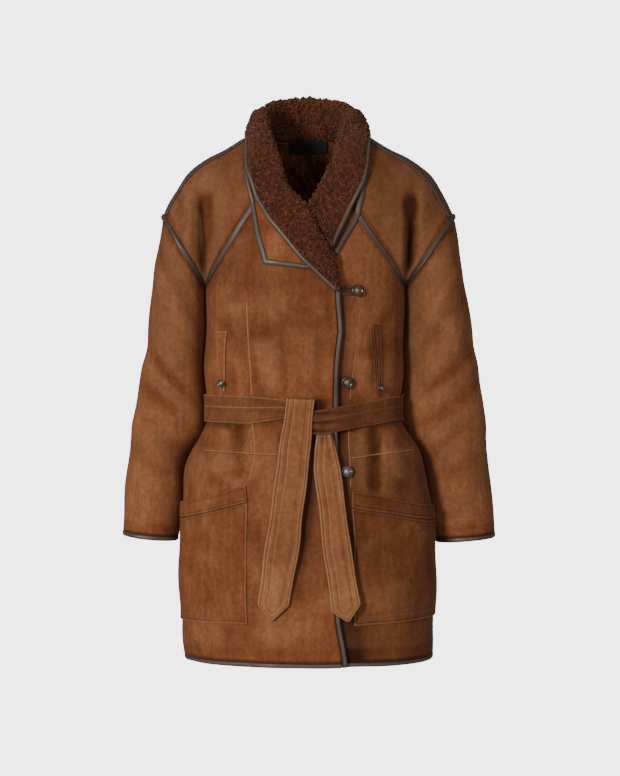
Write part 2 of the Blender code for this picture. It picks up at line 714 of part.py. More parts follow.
def finish_mesh(name, mesh, material, collection, is_round=True):
    """Turns the faces outwards and puts the mesh in the collection as a named object."""
    shape = bmesh.new()
    shape.from_mesh(mesh)
    bmesh.ops.recalc_face_normals(shape, faces=shape.faces)
    shape.to_mesh(mesh)
    shape.free()
    if is_round:
        mesh.shade_smooth()
        mesh.set_sharp_from_angle(angle=math.radians(40))
    mesh.materials.append(material)
    made = bpy.data.objects.new(name, mesh)
    collection.objects.link(made)
    return made


def rim_triangles(points, top, bottom):
    """The triangles of a rim. Each quad is cut from the outer corner that lies further along RIM_ORDER, so that the
    two walls of a seam are cut alike and stay parallel."""
    triangles = []
    for k in range(len(top) - 1):
        t0, t1, b0, b1 = top[k], top[k + 1], bottom[k], bottom[k + 1]
        if points[t0] @ RIM_ORDER > points[t1] @ RIM_ORDER:
            triangles += [[t1, t0, b1], [t0, b0, b1]]
        else:
            triangles += [[t1, t0, b0], [t1, b0, b1]]
    return triangles


def wall(name, outer, inner, material, collection, is_ring=False):
    """A closed wall between two skins of the same grid; a ring's last column meets its first."""
    rows, columns = outer.shape[:2]
    points = np.concatenate([outer.reshape(-1, 3), inner.reshape(-1, 3)])
    index = np.arange(rows * columns).reshape(rows, columns)
    if is_ring:
        index = np.concatenate([index, index[:, :1]], axis=1)
    under = index + rows * columns
    a, b, c, d = index[:-1, :-1], index[:-1, 1:], index[1:, 1:], index[1:, :-1]
    faces = [np.stack([a, b, c, d], axis=-1).reshape(-1, 4)]
    a, b, c, d = under[:-1, :-1], under[:-1, 1:], under[1:, 1:], under[1:, :-1]
    faces.append(np.stack([d, c, b, a], axis=-1).reshape(-1, 4))
    rims = [(index[0], under[0]), (index[-1][::-1], under[-1][::-1])]
    if not is_ring:
        rims += [(index[:, 0][::-1], under[:, 0][::-1]), (index[:, -1], under[:, -1])]
    faces = np.concatenate(faces).tolist()
    for top, bottom in rims:
        faces += rim_triangles(points, top, bottom)
    mesh = bpy.data.meshes.new(name)
    mesh.from_pydata(points.tolist(), [], faces)
    return finish_mesh(name, mesh, material, collection)


def loft(name, sections, material, collection, is_ring=False):
    """A closed solid through sections of the same number of points; the ends are capped unless it is a ring."""
    count, sides = sections.shape[:2]
    index = np.arange(count * sides).reshape(count, sides)
    index = np.concatenate([index, index[:, :1]], axis=1)
    if is_ring:
        index = np.concatenate([index, index[:1]])
    a, b, c, d = index[:-1, :-1], index[:-1, 1:], index[1:, 1:], index[1:, :-1]
    faces = np.stack([a, b, c, d], axis=-1).reshape(-1, 4).tolist()
    if not is_ring:
        faces += [index[0, :-1][::-1].tolist(), index[-1, :-1].tolist()]
    mesh = bpy.data.meshes.new(name)
    mesh.from_pydata(sections.reshape(-1, 3).tolist(), [], faces)
    return finish_mesh(name, mesh, material, collection)


def start_scene(name):
    """Empties the scene and makes the collection for the coat's objects."""
    for old in list(bpy.data.objects):
        bpy.data.objects.remove(old, do_unlink=True)
    collection = bpy.data.collections.new(name)
    bpy.context.scene.collection.children.link(collection)
    return collection


def build_shell(collection, suede):
    """The panels, sleeves and yokes. Returns the patches by name."""
    patches = {
        "front_over": make_front(-1),
        "front_under": make_front(1),
        "back": make_back(),
    }
    for side, word in ((-1, "left"), (1, "right")):
        patches["yoke_front_" + word] = make_yoke(side, True)
        patches["yoke_back_" + word] = make_yoke(side, False)
        patches["sleeve_" + word] = make_sleeve(side)
    down = np.array([0.0, 0.0, -1.0])
    pinned = []
    for side in (-1, 1):
        underarm = body_point(np.array(0.0 if side > 0 else math.pi), np.array(UNDERARM_Z))
        pinned.append((underarm, down))
    share_normals(list(patches.values()), pinned)
    for name, patch in patches.items():
        patch.open_seams(SEAM_GAP)
        wall(name, patch.skin(0.0), patch.skin(-WALL), suede, collection, patch.is_ring)
    return patches


class Skin:
    """The outer facets of the panels, to find how far a point is from them."""

    def __init__(self, patches):
        points, faces = [], []
        for patch in patches:
            grid = patch.skin(0.0)
            index = np.arange(grid[..., 0].size).reshape(grid.shape[:2]) + len(points)
            quads = np.stack([index[:-1, :-1], index[:-1, 1:], index[1:, 1:], index[1:, :-1]], axis=-1)
            if patch.is_turned:
                quads = quads[..., ::-1]
            points += grid.reshape(-1, 3).tolist()
            faces += quads.reshape(-1, 4).tolist()
        self.tree = BVHTree.FromPolygons(points, faces)

    def clear(self, points, distances):
        """The points, each moved out where it is nearer to the panels' outer side than its distance."""
        moved = points.copy()
        for i, (point, distance) in enumerate(zip(points, distances)):
            near, normal, _, away = self.tree.find_nearest(Vector(point))
            offset = Vector(point) - near
            depth = offset.dot(normal)
            is_beside = (offset - normal * depth).length > BESIDE
            if away < distance or (depth < distance and not is_beside):
                moved[i] = near + normal * distance
        return moved


class Cover:
    """The outer facets of the front panels, to find the point and the outward direction at a place in front view."""

    def __init__(self, patches):
        corners, normals = [], []
        for patch in patches:
            for grid, kept in ((patch.skin(0.0), corners), (patch.normals, normals)):
                a, b, c, d = grid[:-1, :-1], grid[:-1, 1:], grid[1:, 1:], grid[1:, :-1]
                kept.append(np.stack([a, b, c], axis=-2).reshape(-1, 3, 3))
                kept.append(np.stack([a, c, d], axis=-2).reshape(-1, 3, 3))
        self.corners = np.concatenate(corners)
        self.normals = np.concatenate(normals)

    def at(self, x, z):
        """The foremost point of the cover at (x, z) and its outward direction."""
        flat = self.corners[:, :, ::2]
        u, v = flat[:, 1] - flat[:, 0], flat[:, 2] - flat[:, 0]
        w = np.array([x, z]) - flat[:, 0]
        area = u[:, 0] * v[:, 1] - u[:, 1] * v[:, 0]
        area = np.where(np.abs(area) < 1e-12, 1e-12, area)
        s = (w[:, 0] * v[:, 1] - w[:, 1] * v[:, 0]) / area
        t = (u[:, 0] * w[:, 1] - u[:, 1] * w[:, 0]) / area
        weights = np.stack([1 - s - t, s, t], axis=-1)
        hits = np.nonzero(weights.min(axis=1) > -0.02)[0]
        points = np.einsum("ij,ijk->ik", weights[hits], self.corners[hits])
        first = np.argmin(points[:, 1])
        normal = weights[hits[first]] @ self.normals[hits[first]]
        return points[first], unit(normal)

    def grid(self, places):
        """Points and outward directions for an array of (x, z)."""
        flat = np.asarray(places, float)
        found = [self.at(x, z) for x, z in flat.reshape(-1, 2)]
        shape = flat.shape[:-1] + (3,)
        return np.array([f[0] for f in found]).reshape(shape), np.array([f[1] for f in found]).reshape(shape)


def seam_band(border, width):
    """Three points across a seam at each station: on one panel, on the seam and on the other panel."""
    points, normals, beside_one, beside_two = border
    one = points + unit(beside_one - points) * width
    two = points + unit(beside_two - points) * width
    return np.stack([one, points, two], axis=1), np.repeat(normals[:, None], 3, axis=1)


def shorten(grid, start, end):
    """The grid with its first and last stations moved towards their neighbours by these distances."""
    cut = grid.copy()
    first, last = np.linalg.norm(grid[1] - grid[0], axis=-1), np.linalg.norm(grid[-2] - grid[-1], axis=-1)
    cut[0] = mix(grid[0], grid[1], (start / np.maximum(first, 1e-6))[:, None])
    cut[-1] = mix(grid[-1], grid[-2], (end / np.maximum(last, 1e-6))[:, None])
    return cut


def lay(name, points, normals, lift, thickness, material, collection, is_ring=False):
    """A sheet laid over points of a panel, moved out by lift."""
    outer = points + normals * (lift + thickness)
    return wall(name, outer, points + normals * lift, material, collection, is_ring)


def build_seam_tapes(patches, leather, collection):
    """Leather tapes over the raglan seams, the shoulder lines and the armholes."""
    for side, word in ((-1, "left"), (1, "right")):
        front = patches["front_over" if side < 0 else "front_under"]
        back = patches["back"]
        yoke_front, yoke_back = patches["yoke_front_" + word], patches["yoke_back_" + word]
        sleeve = patches["sleeve_" + word]
        columns = np.arange(RAGLAN_STEPS + 1)
        for label, panel, yoke in (("front", front, yoke_front), ("back", back, yoke_back)):
            picked = columns if side < 0 or label == "front" else back.points.shape[1] - 1 - columns
            border = (panel.points[-1, picked], panel.normals[-1, picked], panel.points[-2, picked],
                      yoke.points[::-1, -2])
            band, normals = seam_band(border, TAPE_HALF_WIDTH)
            first, last = (2, len(band) - 1) if label == "front" and side > 0 else (2, len(band))
            cut = RAGLAN_TAPE_STOP if last < len(band) else 0.0
            lay("raglan_tape_" + label + "_" + word, shorten(band[first:last], 0.0, cut), normals[first:last],
                TAPE_LIFT, TAPE_THICKNESS, leather, collection)
        border = (yoke_front.points[:, 0], yoke_front.normals[:, 0], yoke_front.points[:, 1], yoke_back.points[:, 1])
        band, normals = seam_band(border, TAPE_HALF_WIDTH)
        lay("shoulder_tape_" + word, shorten(band[1:], 0.004, 0.006), normals[1:], TAPE_LIFT, TAPE_THICKNESS,
            leather, collection)
        over_arm = slice(AROUND_HALF_SLEEVE - 1, 0, -1), slice(0, AROUND_HALF_SLEEVE)
        ring = np.concatenate([yoke_front.points[-1][over_arm[0]], yoke_back.points[-1][over_arm[1]]])
        beside = np.concatenate([yoke_front.points[-2][over_arm[0]], yoke_back.points[-2][over_arm[1]]])
        turns = np.arange(AROUND_HALF_SLEEVE - 1, -AROUND_HALF_SLEEVE, -1)
        band, normals = seam_band((ring, sleeve.normals[0, turns], beside, sleeve.points[1, turns]),
                                  TAPE_HALF_WIDTH)
        lay("armhole_tape_" + word, band, normals, 2 * TAPE_LIFT, TAPE_THICKNESS, leather, collection)


def neck_edge(patches, side):
    """The line that the collar's foot follows, from the lower end of a front's neckline to the middle of the back."""
    word = "left" if side < 0 else "right"
    front = patches["front_over" if side < 0 else "front_under"]
    back = patches["back"]
    middle = back.points.shape[1] // 2
    last = front.points.shape[1] - 1
    neck = list(range(RAGLAN_STEPS + 1, middle + 1))
    if side > 0:
        neck = [2 * middle - c for c in neck]
    parts = [
        (front, -1, np.arange(last, RAGLAN_STEPS - 1, -1)),
        (patches["yoke_front_" + word], 0, np.arange(AROUND_HALF_SLEEVE - 1, -1, -1)),
        (patches["yoke_back_" + word], 0, np.arange(1, AROUND_HALF_SLEEVE + 1)),
        (back, -1, np.array(neck)),
    ]
    feet, leads, normals = [], [], []
    for patch, row, columns in parts:
        outwards = -unit(patch.shift[row, columns])
        feet.append(patch.points[row, columns] - patch.normals[row, columns] * WALL / 2)
        leads.append(outwards)
        normals.append(patch.normals[row, columns])
    leads = np.concatenate(leads)
    corners = np.cumsum([len(part[2]) for part in parts[:-1]]) - 1
    for corner in corners:
        leads[corner] = unit(leads[corner - 1] + leads[corner + 1])
    line = np.concatenate(feet) + leads * FOOT_GAP
    run = np.concatenate([[0.0], np.cumsum(np.linalg.norm(np.diff(line, axis=0), axis=1))])
    return run, line, leads, np.concatenate(normals)


def front_height(x, z, over):
    """The Y of the body's front at (x, z), under or over the lap, carried on past the panels' edges."""
    point = body_point(angle_at(x, z), np.asarray(z, float))
    return float((lap(point) if over else point)[1])


def collar_rows(side):
    """The guide rows of one half of the collar from its lower end to the back, as run, roll, edge and bulk."""
    over = side < 0
    fall = OVER_FALL_LIFT if over else UNDER_FALL_LIFT
    foot = OVER_FOOT_LIFT - LAP_LIFT if over else UNDER_FOOT_LIFT
    rows = []
    for row in LAPEL_OVER if over else LAPEL_UNDER:
        lift = fall - LAP_LIFT if over else fall
        roll = (row.roll.x, front_height(row.roll.x, row.roll.z, over) - (lift + foot) / 2, row.roll.z)
        edge = (row.edge.x, front_height(row.edge.x, row.edge.z, over) - lift, row.edge.z)
        rows.append((row.along, *roll, *edge, row.bulk, WALL))
    for row in COLLAR_OVER_HALF if over else COLLAR_UNDER_HALF:
        rows.append((row.along, *row.roll, *row.edge, row.bulk, row.bulk))
    rows = np.array(rows)
    return rows[np.argsort(rows[:, 0])]


class Station(NamedTuple):
    """A place along the collar: its foot with the directions there, and the roll, edge and thicknesses above it."""

    foot: np.ndarray
    outwards: np.ndarray
    normal: np.ndarray
    roll: np.ndarray
    edge: np.ndarray
    bulk: float
    stand: float
    is_over: bool


def collar_section(station, skin):
    """A section of the collar: a wall that leaves the neck seam, rises to the roll, turns over and falls to its edge.

    Its thickness is the panels' at the seam, that of the stand below the roll and the collar's own beyond it. The
    fall is held clear of the panels beneath. Returns the section, and the place and directions of its free edge.
    """
    foot, edge, bulk = station.foot, station.edge, station.bulk
    up = unit(station.roll - (foot + edge) / 2)
    across = edge - foot
    across = across - up * (across @ up)
    radius = np.clip(np.linalg.norm(across) / 2, bulk / 2 + 0.0005, 0.013)
    across = unit(across)
    centre = station.roll - up * (bulk / 2 + radius)
    angles = np.linspace(0.0, math.pi, ARC_STEPS + 1)[:, None]
    arc = centre - across * np.cos(angles) * radius + up * np.sin(angles) * radius
    start = foot + station.outwards * min(SEAM_LEAD, np.linalg.norm(arc[0] - foot) / 3)
    leg = np.stack([foot, start, mix(start, arc[0], 0.5)])
    fall = mix(arc[-1], edge, np.array([0.5, 1.0])[:, None])
    line = np.concatenate([leg, arc, fall])
    outer = slice(len(leg) + 3, None)
    in_front = smooth_step((-line[outer, 1] - 0.02) / 0.03) * station.is_over
    line[outer] = skin.clear(line[outer], mix(COLLAR_CLEARANCE, FLAP_CLEARANCE, in_front))
    along = unit(np.gradient(line, axis=0))
    along[0] = station.outwards
    out = unit(np.cross(along, np.cross(up, across)))
    out[0] = -station.normal
    out[1] = unit(out[1] - 2 * station.normal)
    turned = smooth_step(np.linspace(0.0, 1.0, len(arc)) * 1.6)
    stand = station.stand
    thickness = np.concatenate([[WALL, WALL, mix(WALL, stand, 0.7)], mix(stand, bulk, turned), [bulk, bulk * 0.8]])
    half = thickness[:, None] / 2
    section = np.concatenate([line + out * half, (line - out * half)[::-1]])
    return section, (line[-1], along[-1], out[-1])


def build_collar(patches, skin, fleece, leather, collection):
    """The collar as one loft from its lower end on the front that laps over, round the neck, to the other front."""
    halves = []
    for side in (-1, 1):
        run, line, leads, normals = neck_edge(patches, side)
        rows = collar_rows(side)
        at = run[run >= rows[0, 0]]
        guide = through(rows[:, 0], rows[:, 1:], at)
        feet = np.stack([np.interp(at, run, line[:, c]) for c in range(3)], axis=-1)
        outwards = unit(np.stack([np.interp(at, run, leads[:, c]) for c in range(3)], axis=-1))
        faced = unit(np.stack([np.interp(at, run, normals[:, c]) for c in range(3)], axis=-1))
        halves.append([Station(foot, lead, normal, row[:3], row[3:6], row[6], row[7], side < 0)
                       for foot, lead, normal, row in zip(feet, outwards, faced, guide)])
    stations = halves[0] + halves[1][-2::-1]
    made = [collar_section(station, skin) for station in stations]
    loft("collar", np.array([section for section, _ in made]), fleece, collection)
    edge, along, out = (np.array([frame[i] for _, frame in made]) for i in range(3))
    centre = edge + along * (PIPING_RADIUS + PIPING_GAP)
    loft("collar_piping", round_sections(centre, along, out, PIPING_RADIUS, PIPING_SIDES), leather, collection)


def round_sections(centres, one, two, radius, sides):
    """Regular sections about a line, in the planes of the two directions."""
    turn = np.linspace(0.0, 2 * math.pi, sides, endpoint=False)[None, :, None]
    return centres[:, None] + (one[:, None] * np.cos(turn) + two[:, None] * np.sin(turn)) * radius


def build_lapel(cover, suede, leather, collection):
    """The flap under the collar on the front that laps over, its tape, and the tape beside the other side's collar."""
    outer, inner = along_line(FLAP_OUTER, FLAP_ROWS), along_line(FLAP_INNER, FLAP_ROWS)
    lines = [outer, outer + unit(inner - outer) * FLAP_TAPE_WIDTH]
    lines += [mix(lines[1], inner, share) for share in FLAP_COLUMNS]
    places = np.stack(lines, axis=1)
    upper_row = places[-1:] + unit(places[-2:-1] - places[-1:]) * FLAP_TAPE_WIDTH
    places = np.concatenate([places[:-1], upper_row, places[-1:]])
    points, normals = cover.grid(places)
    lay("lapel_flap", points, normals, FLAP_LIFT, FLAP_THICKNESS, suede, collection)
    tape_lift = FLAP_LIFT + FLAP_THICKNESS + FLAP_TAPE_LIFT
    outside = [(row, 0) for row in range(FLAP_ROWS)] + [(-1, column) for column in (0, *range(2, FLAP_TAPE_COLUMNS))]
    inside = [(row, 1) for row in range(FLAP_ROWS)] + [(-2, column) for column in range(1, FLAP_TAPE_COLUMNS)]
    picked = np.array([outside, inside]).transpose(1, 2, 0)
    rows, columns = picked[:, 0], picked[:, 1]
    lay("lapel_tape", points[rows, columns], normals[rows, columns], tape_lift, TAPE_THICKNESS, leather, collection)
    line = along_line(NECK_TAPE, 16)
    along = unit(np.gradient(line, axis=0))
    beside = np.stack([-along[:, 1], along[:, 0]], axis=-1) * TAPE_HALF_WIDTH
    points, normals = cover.grid(np.stack([line - beside, line + beside], axis=1))
    lay("neck_tape", points, normals, NECK_TAPE_LIFT, TAPE_THICKNESS, leather, collection)


def rim_frame(points, normals, beside, is_ring=False):
    """The middle of the wall along a free edge of a panel, the way out of that edge and the way out of the coat."""
    if is_ring:
        wrapped = np.concatenate([points[-1:], points, points[:1]])
        along = np.gradient(wrapped, axis=0)[1:-1]
    else:
        along = np.gradient(points, axis=0)
    away = unit(np.cross(along, normals))
    away = away * np.sign(np.sum(away * (points - beside)))
    return points - normals * WALL / 2, away, normals


def bind(name, frame, half_width, cuts, leather, collection, is_ring=False):
    """A leather binding along a free edge: a rounded bead as thick as the wall and a little more."""
    middle, away, normals = frame
    centre = middle + away * (half_width + SEAM_GAP / 2)
    section = np.array(BINDING_SECTION)
    bead = (centre[:, None] + away[:, None] * section[None, :, :1] * half_width
            + normals[:, None] * section[None, :, 1:] * BINDING_HALF_THICKNESS)
    if not is_ring:
        bead = shorten(bead, *cuts)
    loft(name, bead, leather, collection, is_ring)


def build_bindings(patches, leather, collection):
    """The bindings of the front edge, the hem and the cuffs."""
    over, under, back = patches["front_over"], patches["front_under"], patches["back"]
    points, normals = over.points[:, -1], over.normals[:, -1]
    foot = 2 * points[0] - points[1]
    foot = points[0] + unit(foot - points[0]) * 2 * HEM_BINDING_HALF_WIDTH
    points = np.concatenate([[foot], points])
    normals = np.concatenate([normals[:1], normals])
    beside = np.concatenate([over.points[:1, -2], over.points[:, -2]])
    bind("front_edge_binding", rim_frame(points, normals, beside), BINDING_HALF_WIDTH, (0.0, BINDING_TOP_CUT), leather,
         collection)
    bind("hem_binding_over", rim_frame(over.points[0], over.normals[0], over.points[1]), HEM_BINDING_HALF_WIDTH,
         (SEAM_GAP, SEAM_GAP), leather, collection)
    points = np.concatenate([under.points[0, ::-1], back.points[0, -2::-1]])
    normals = np.concatenate([under.normals[0, ::-1], back.normals[0, -2::-1]])
    beside = np.concatenate([under.points[1, ::-1], back.points[1, -2::-1]])
    bind("hem_binding_under", rim_frame(points, normals, beside), HEM_BINDING_HALF_WIDTH, (SEAM_GAP, SEAM_GAP),
         leather, collection)
    for word in ("left", "right"):
        sleeve = patches["sleeve_" + word]
        frame = rim_frame(sleeve.points[-1], sleeve.normals[-1], sleeve.points[-2], is_ring=True)
        bind("cuff_binding_" + word, frame, CUFF_BINDING_HALF_WIDTH, None, leather, collection, is_ring=True)


def strap_patch(straps, angles, rows, raise_points):
    """A patch of the body's outer skin between the upper and lower edges that the straps give along X."""
    table = np.array(straps)
    middle = (table[0, 1:].mean() + table[-1, 1:].mean()) / 2
    x = body_point(angles, np.full_like(angles, middle))[:, 0]
    top, bottom = np.interp(x, table[:, 0], table[:, 1]), np.interp(x, table[:, 0], table[:, 2])
    z = mix(bottom, top, np.linspace(0.0, 1.0, rows + 1)[:, None])
    points = raise_points(body_point(np.broadcast_to(angles, z.shape), z))
    return Patch(points, points * [0.0, 0.0, 1.0])


def over_front_edge(points):
    """Moves the right part of the belt out where it crosses the edge of the front that laps over."""
    lifted = points.copy()
    share = smooth_step((points[..., 0] - RAMP_FROM_X) / (RAMP_TO_X - RAMP_FROM_X))
    lifted[..., 1] -= mix(LAP_LIFT + BELT_OVER_EDGE_LIFT - BELT_LIFT, 0.0, share)
    return lifted


def unmoved(points):
    return points


def lay_patch(name, patch, lift, thickness, material, collection):
    return lay(name, patch.points, patch.normals, lift, thickness, material, collection)


def tail(name, rows, suede, collection):
    """A hanging end of the belt: a flat strap in front of the front that laps over."""
    outer = []
    for row in rows:
        middle = Place((row.left.x + row.right.x) / 2, (row.left.z + row.right.z) / 2)
        places = (row.left, middle, row.right)
        depth = min(front_height(place.x, place.z, True) for place in places) - row.lift
        outer.append([(place.x, depth, place.z) for place in places])
    inner = np.array(outer)
    wall(name, inner - [0.0, BELT_THICKNESS, 0.0], inner, suede, collection)


def build_belt(suede, collection):
    """The belt: a band round the back, a part across each front, and the two ends that hang from where they cross."""
    mean_z = (BELT_BACK.top + BELT_BACK.bottom) / 2
    seam = SEAM_GAP
    angles = np.linspace(math.pi + seam, 2 * math.pi - seam, 2 * RAGLAN_STEPS + BACK_NECK_STEPS + 2)
    band = strap_patch((BELT_BACK._replace(x=-1.0), BELT_BACK._replace(x=1.0)), angles, 2, unmoved)
    lay_patch("belt_back", band, BELT_LIFT, BELT_THICKNESS, suede, collection)
    angles = np.linspace(math.pi - seam, float(angle_at(BELT_LEFT[-1].x, mean_z)), 13)
    lay_patch("belt_left", strap_patch(BELT_LEFT, angles, 2, lap), BELT_LIFT, BELT_THICKNESS, suede, collection)
    angles = np.linspace(seam, float(angle_at(BELT_RIGHT[0].x, mean_z)), 17)
    right = strap_patch(BELT_RIGHT, angles, 2, over_front_edge)
    lay_patch("belt_right", right, BELT_LIFT, BELT_THICKNESS, suede, collection)
    tail("belt_tail_left", LEFT_TAIL, suede, collection)
    tail("belt_tail_right", RIGHT_TAIL, suede, collection)


def build_pockets(cover, suede, collection):
    """The patch pockets with their bands, and the welts of the chest pockets."""
    sides = (
        ("left", math.pi - POCKET_SIDE_ANGLE, LEFT_POCKET_INNER_X, LEFT_POCKET, LEFT_BAND, lap),
        ("right", POCKET_SIDE_ANGLE, RIGHT_POCKET_INNER_X, RIGHT_POCKET, RIGHT_BAND, unmoved),
    )
    for word, start, inner_x, pocket, band, raised in sides:
        end = float(angle_at(inner_x, pocket[0].top))
        angles = np.linspace(start, end, 11)
        lay_patch("pocket_" + word, strap_patch(pocket, angles, 4, raised), POCKET_LIFT, POCKET_THICKNESS, suede,
                  collection)
        lay_patch("pocket_band_" + word, strap_patch(band, angles, 1, raised), POCKET_LIFT, BAND_THICKNESS, suede,
                  collection)
    for word, lines in (("left", LEFT_WELT), ("right", RIGHT_WELT)):
        points, normals = cover.grid(lines)
        lay("welt_" + word, points, normals, WELT_LIFT, WELT_THICKNESS, suede, collection)


def button(name, cover, place, rings, sides, material, collection):
    """A domed button on a panel, turned about the panel's outward direction."""
    point, normal = cover.at(*place)
    one = unit(np.cross(normal, [0.0, 0.0, 1.0]))
    two = np.cross(normal, one)
    sections = np.concatenate([
        round_sections((point + normal * ring.height)[None], one[None], two[None], ring.radius, sides)
        for ring in rings
    ])
    loft(name, sections, material, collection)


def build_buttons(cover, horn, leather, collection):
    """The three large buttons, the loop of the first, the tab of the second, and the two small buttons."""
    for word, place in zip(("upper", "middle", "lower"), BUTTON_PLACES):
        button("button_" + word, cover, place, BUTTON, BUTTON_SIDES, horn, collection)
    for word, place in zip(("left", "right"), SMALL_BUTTON_PLACES):
        button("small_button_" + word, cover, place, SMALL_BUTTON, SMALL_BUTTON_SIDES, horn, collection)
    centre = BUTTON_PLACES[0]
    turn = np.linspace(math.pi / 2, -math.pi / 2, 7)
    path = [(LOOP_START_X, centre.z + LOOP_HALF_WIDTH)]
    path += [(centre.x + LOOP_HALF_WIDTH * math.cos(a), centre.z + LOOP_HALF_WIDTH * math.sin(a)) for a in turn]
    path += [(LOOP_START_X, centre.z - LOOP_HALF_WIDTH)]
    points, normals = cover.grid(path)
    line = points + normals * LOOP_LIFT
    along = unit(np.gradient(line, axis=0))
    beside = unit(np.cross(along, normals))
    loft("button_loop", round_sections(line, beside, np.cross(beside, along), LOOP_RADIUS, 6), leather, collection)
    points, normals = cover.grid(TAB_CORNERS)
    lay("button_tab", points, normals, TAB_LIFT, TAB_THICKNESS, leather, collection)


def build_label(back, fabric, collection):
    """The blank label inside the back of the neck, with the size tab below it."""
    columns = np.arange(RAGLAN_STEPS + 1, back.points.shape[1] - RAGLAN_STEPS - 1)
    inner = back.skin(-WALL)
    lower, upper = inner[-2, columns], inner[-1, columns]
    for name, left, right, top, bottom in (
        ("neck_label", LABEL_LEFT_X, LABEL_RIGHT_X, LABEL_TOP_Z, LABEL_BOTTOM_Z),
        ("size_tab", SIZE_TAB_LEFT_X, SIZE_TAB_RIGHT_X, LABEL_BOTTOM_Z - SEAM_GAP, SIZE_TAB_BOTTOM_Z),
    ):
        grid = []
        for z in (top, bottom):
            share = (z - lower[:, 2]) / (upper[:, 2] - lower[:, 2])
            row = mix(lower, upper, share[:, None])
            x = np.linspace(left, right, 5)
            grid.append(np.stack([np.interp(x, row[:, 0], row[:, c]) for c in range(3)], axis=-1))
        points = np.array(grid)
        inwards = unit(points * [-1.0, -1.0, 0.0])
        lay(name, points, inwards, LABEL_LIFT, LABEL_THICKNESS, fabric, collection)


def main():
    collection = start_scene("shearling_coat")
    suede = make_material("tan suede", (0.26, 0.11, 0.045), 0.92)
    leather = make_material("dark brown leather", (0.075, 0.045, 0.032), 0.45)
    fleece = make_material("curly brown shearling", (0.14, 0.045, 0.018), 0.95)
    horn = make_material("dark polished horn", (0.030, 0.022, 0.018), 0.30)
    fabric = make_material("black woven label", (0.012, 0.012, 0.013), 0.80)
    patches = build_shell(collection, suede)
    build_seam_tapes(patches, leather, collection)
    panels = [patches[name] for name in ("front_over", "front_under", "yoke_front_left", "yoke_front_right")]
    skin = Skin([patches[name] for name in patches if not name.startswith("sleeve")])
    cover = Cover(panels)
    build_collar(patches, skin, fleece, leather, collection)
    build_lapel(cover, suede, leather, collection)
    build_bindings(patches, leather, collection)
    build_pockets(cover, suede, collection)
    build_buttons(cover, horn, leather, collection)
    build_belt(suede, collection)
    build_label(patches["back"], fabric, collection)


main()
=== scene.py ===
"""The looks of a belted shearling wrap coat: tan suede outside, curly brown fleece inside, dark leather trims.

Every piece repeats its solid's own surface with smaller steps, and adds what the solid leaves out: soft creases,
rounded edges, stitching, curls of fleece and the finishes. The front faces -Y and the origin is at the neck's base.
"""

import json
import logging
import math
from dataclasses import dataclass, field
from enum import Enum
from typing import Callable, NamedTuple, Optional, Sequence

import bmesh
import bpy
import numpy as np
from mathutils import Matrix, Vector
from mathutils.bvhtree import BVHTree

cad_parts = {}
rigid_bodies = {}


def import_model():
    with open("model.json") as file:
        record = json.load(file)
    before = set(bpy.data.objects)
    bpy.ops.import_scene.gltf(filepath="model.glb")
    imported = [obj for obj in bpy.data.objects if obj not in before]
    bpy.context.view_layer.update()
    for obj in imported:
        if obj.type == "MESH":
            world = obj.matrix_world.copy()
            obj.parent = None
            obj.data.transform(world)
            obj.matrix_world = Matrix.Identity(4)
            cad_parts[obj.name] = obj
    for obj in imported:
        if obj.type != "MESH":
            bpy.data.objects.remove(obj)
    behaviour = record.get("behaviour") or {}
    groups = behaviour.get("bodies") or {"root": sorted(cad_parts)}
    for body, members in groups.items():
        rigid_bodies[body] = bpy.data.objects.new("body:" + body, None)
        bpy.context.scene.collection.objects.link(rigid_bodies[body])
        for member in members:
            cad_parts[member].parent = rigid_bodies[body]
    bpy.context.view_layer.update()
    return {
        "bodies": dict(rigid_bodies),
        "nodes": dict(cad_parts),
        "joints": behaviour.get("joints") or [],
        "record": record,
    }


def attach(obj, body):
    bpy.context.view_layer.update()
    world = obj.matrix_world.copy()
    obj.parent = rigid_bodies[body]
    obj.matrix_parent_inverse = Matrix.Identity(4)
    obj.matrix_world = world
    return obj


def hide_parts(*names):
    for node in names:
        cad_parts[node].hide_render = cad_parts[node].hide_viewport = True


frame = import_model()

log = logging.getLogger("coat")
Array = np.ndarray
Marks = Optional[dict[str, Array]]
SIDES = {-1: "left", 1: "right"}

# ---------------------------------------------------------------- sizes of the coat, in metres

WALL = 0.006
LAP_LIFT = 0.0078
LAP_FROM_X, LAP_FULL_X = -0.105, -0.050
HIDDEN_EDGE_X = -0.036
UNDERARM_Z = -0.250
SHOULDER_TIP = (0.247, -0.130)
ARMHOLE_HALF_DEPTH = 0.070
BODY_POWER = 2.5
FINE = 6

RAGLAN_STEPS, OVER_NECK_STEPS, UNDER_NECK_STEPS, BACK_NECK_STEPS = 8, 10, 6, 6
AROUND_HALF_SLEEVE, FAN_STEPS, ARM_ROWS = 8, 5, 17
LEVELS = (-0.869, -0.83, -0.77, -0.70, -0.64, -0.59, -0.555, -0.525, -0.50, -0.478, -0.455, -0.432, -0.405, -0.37,
          -0.330)

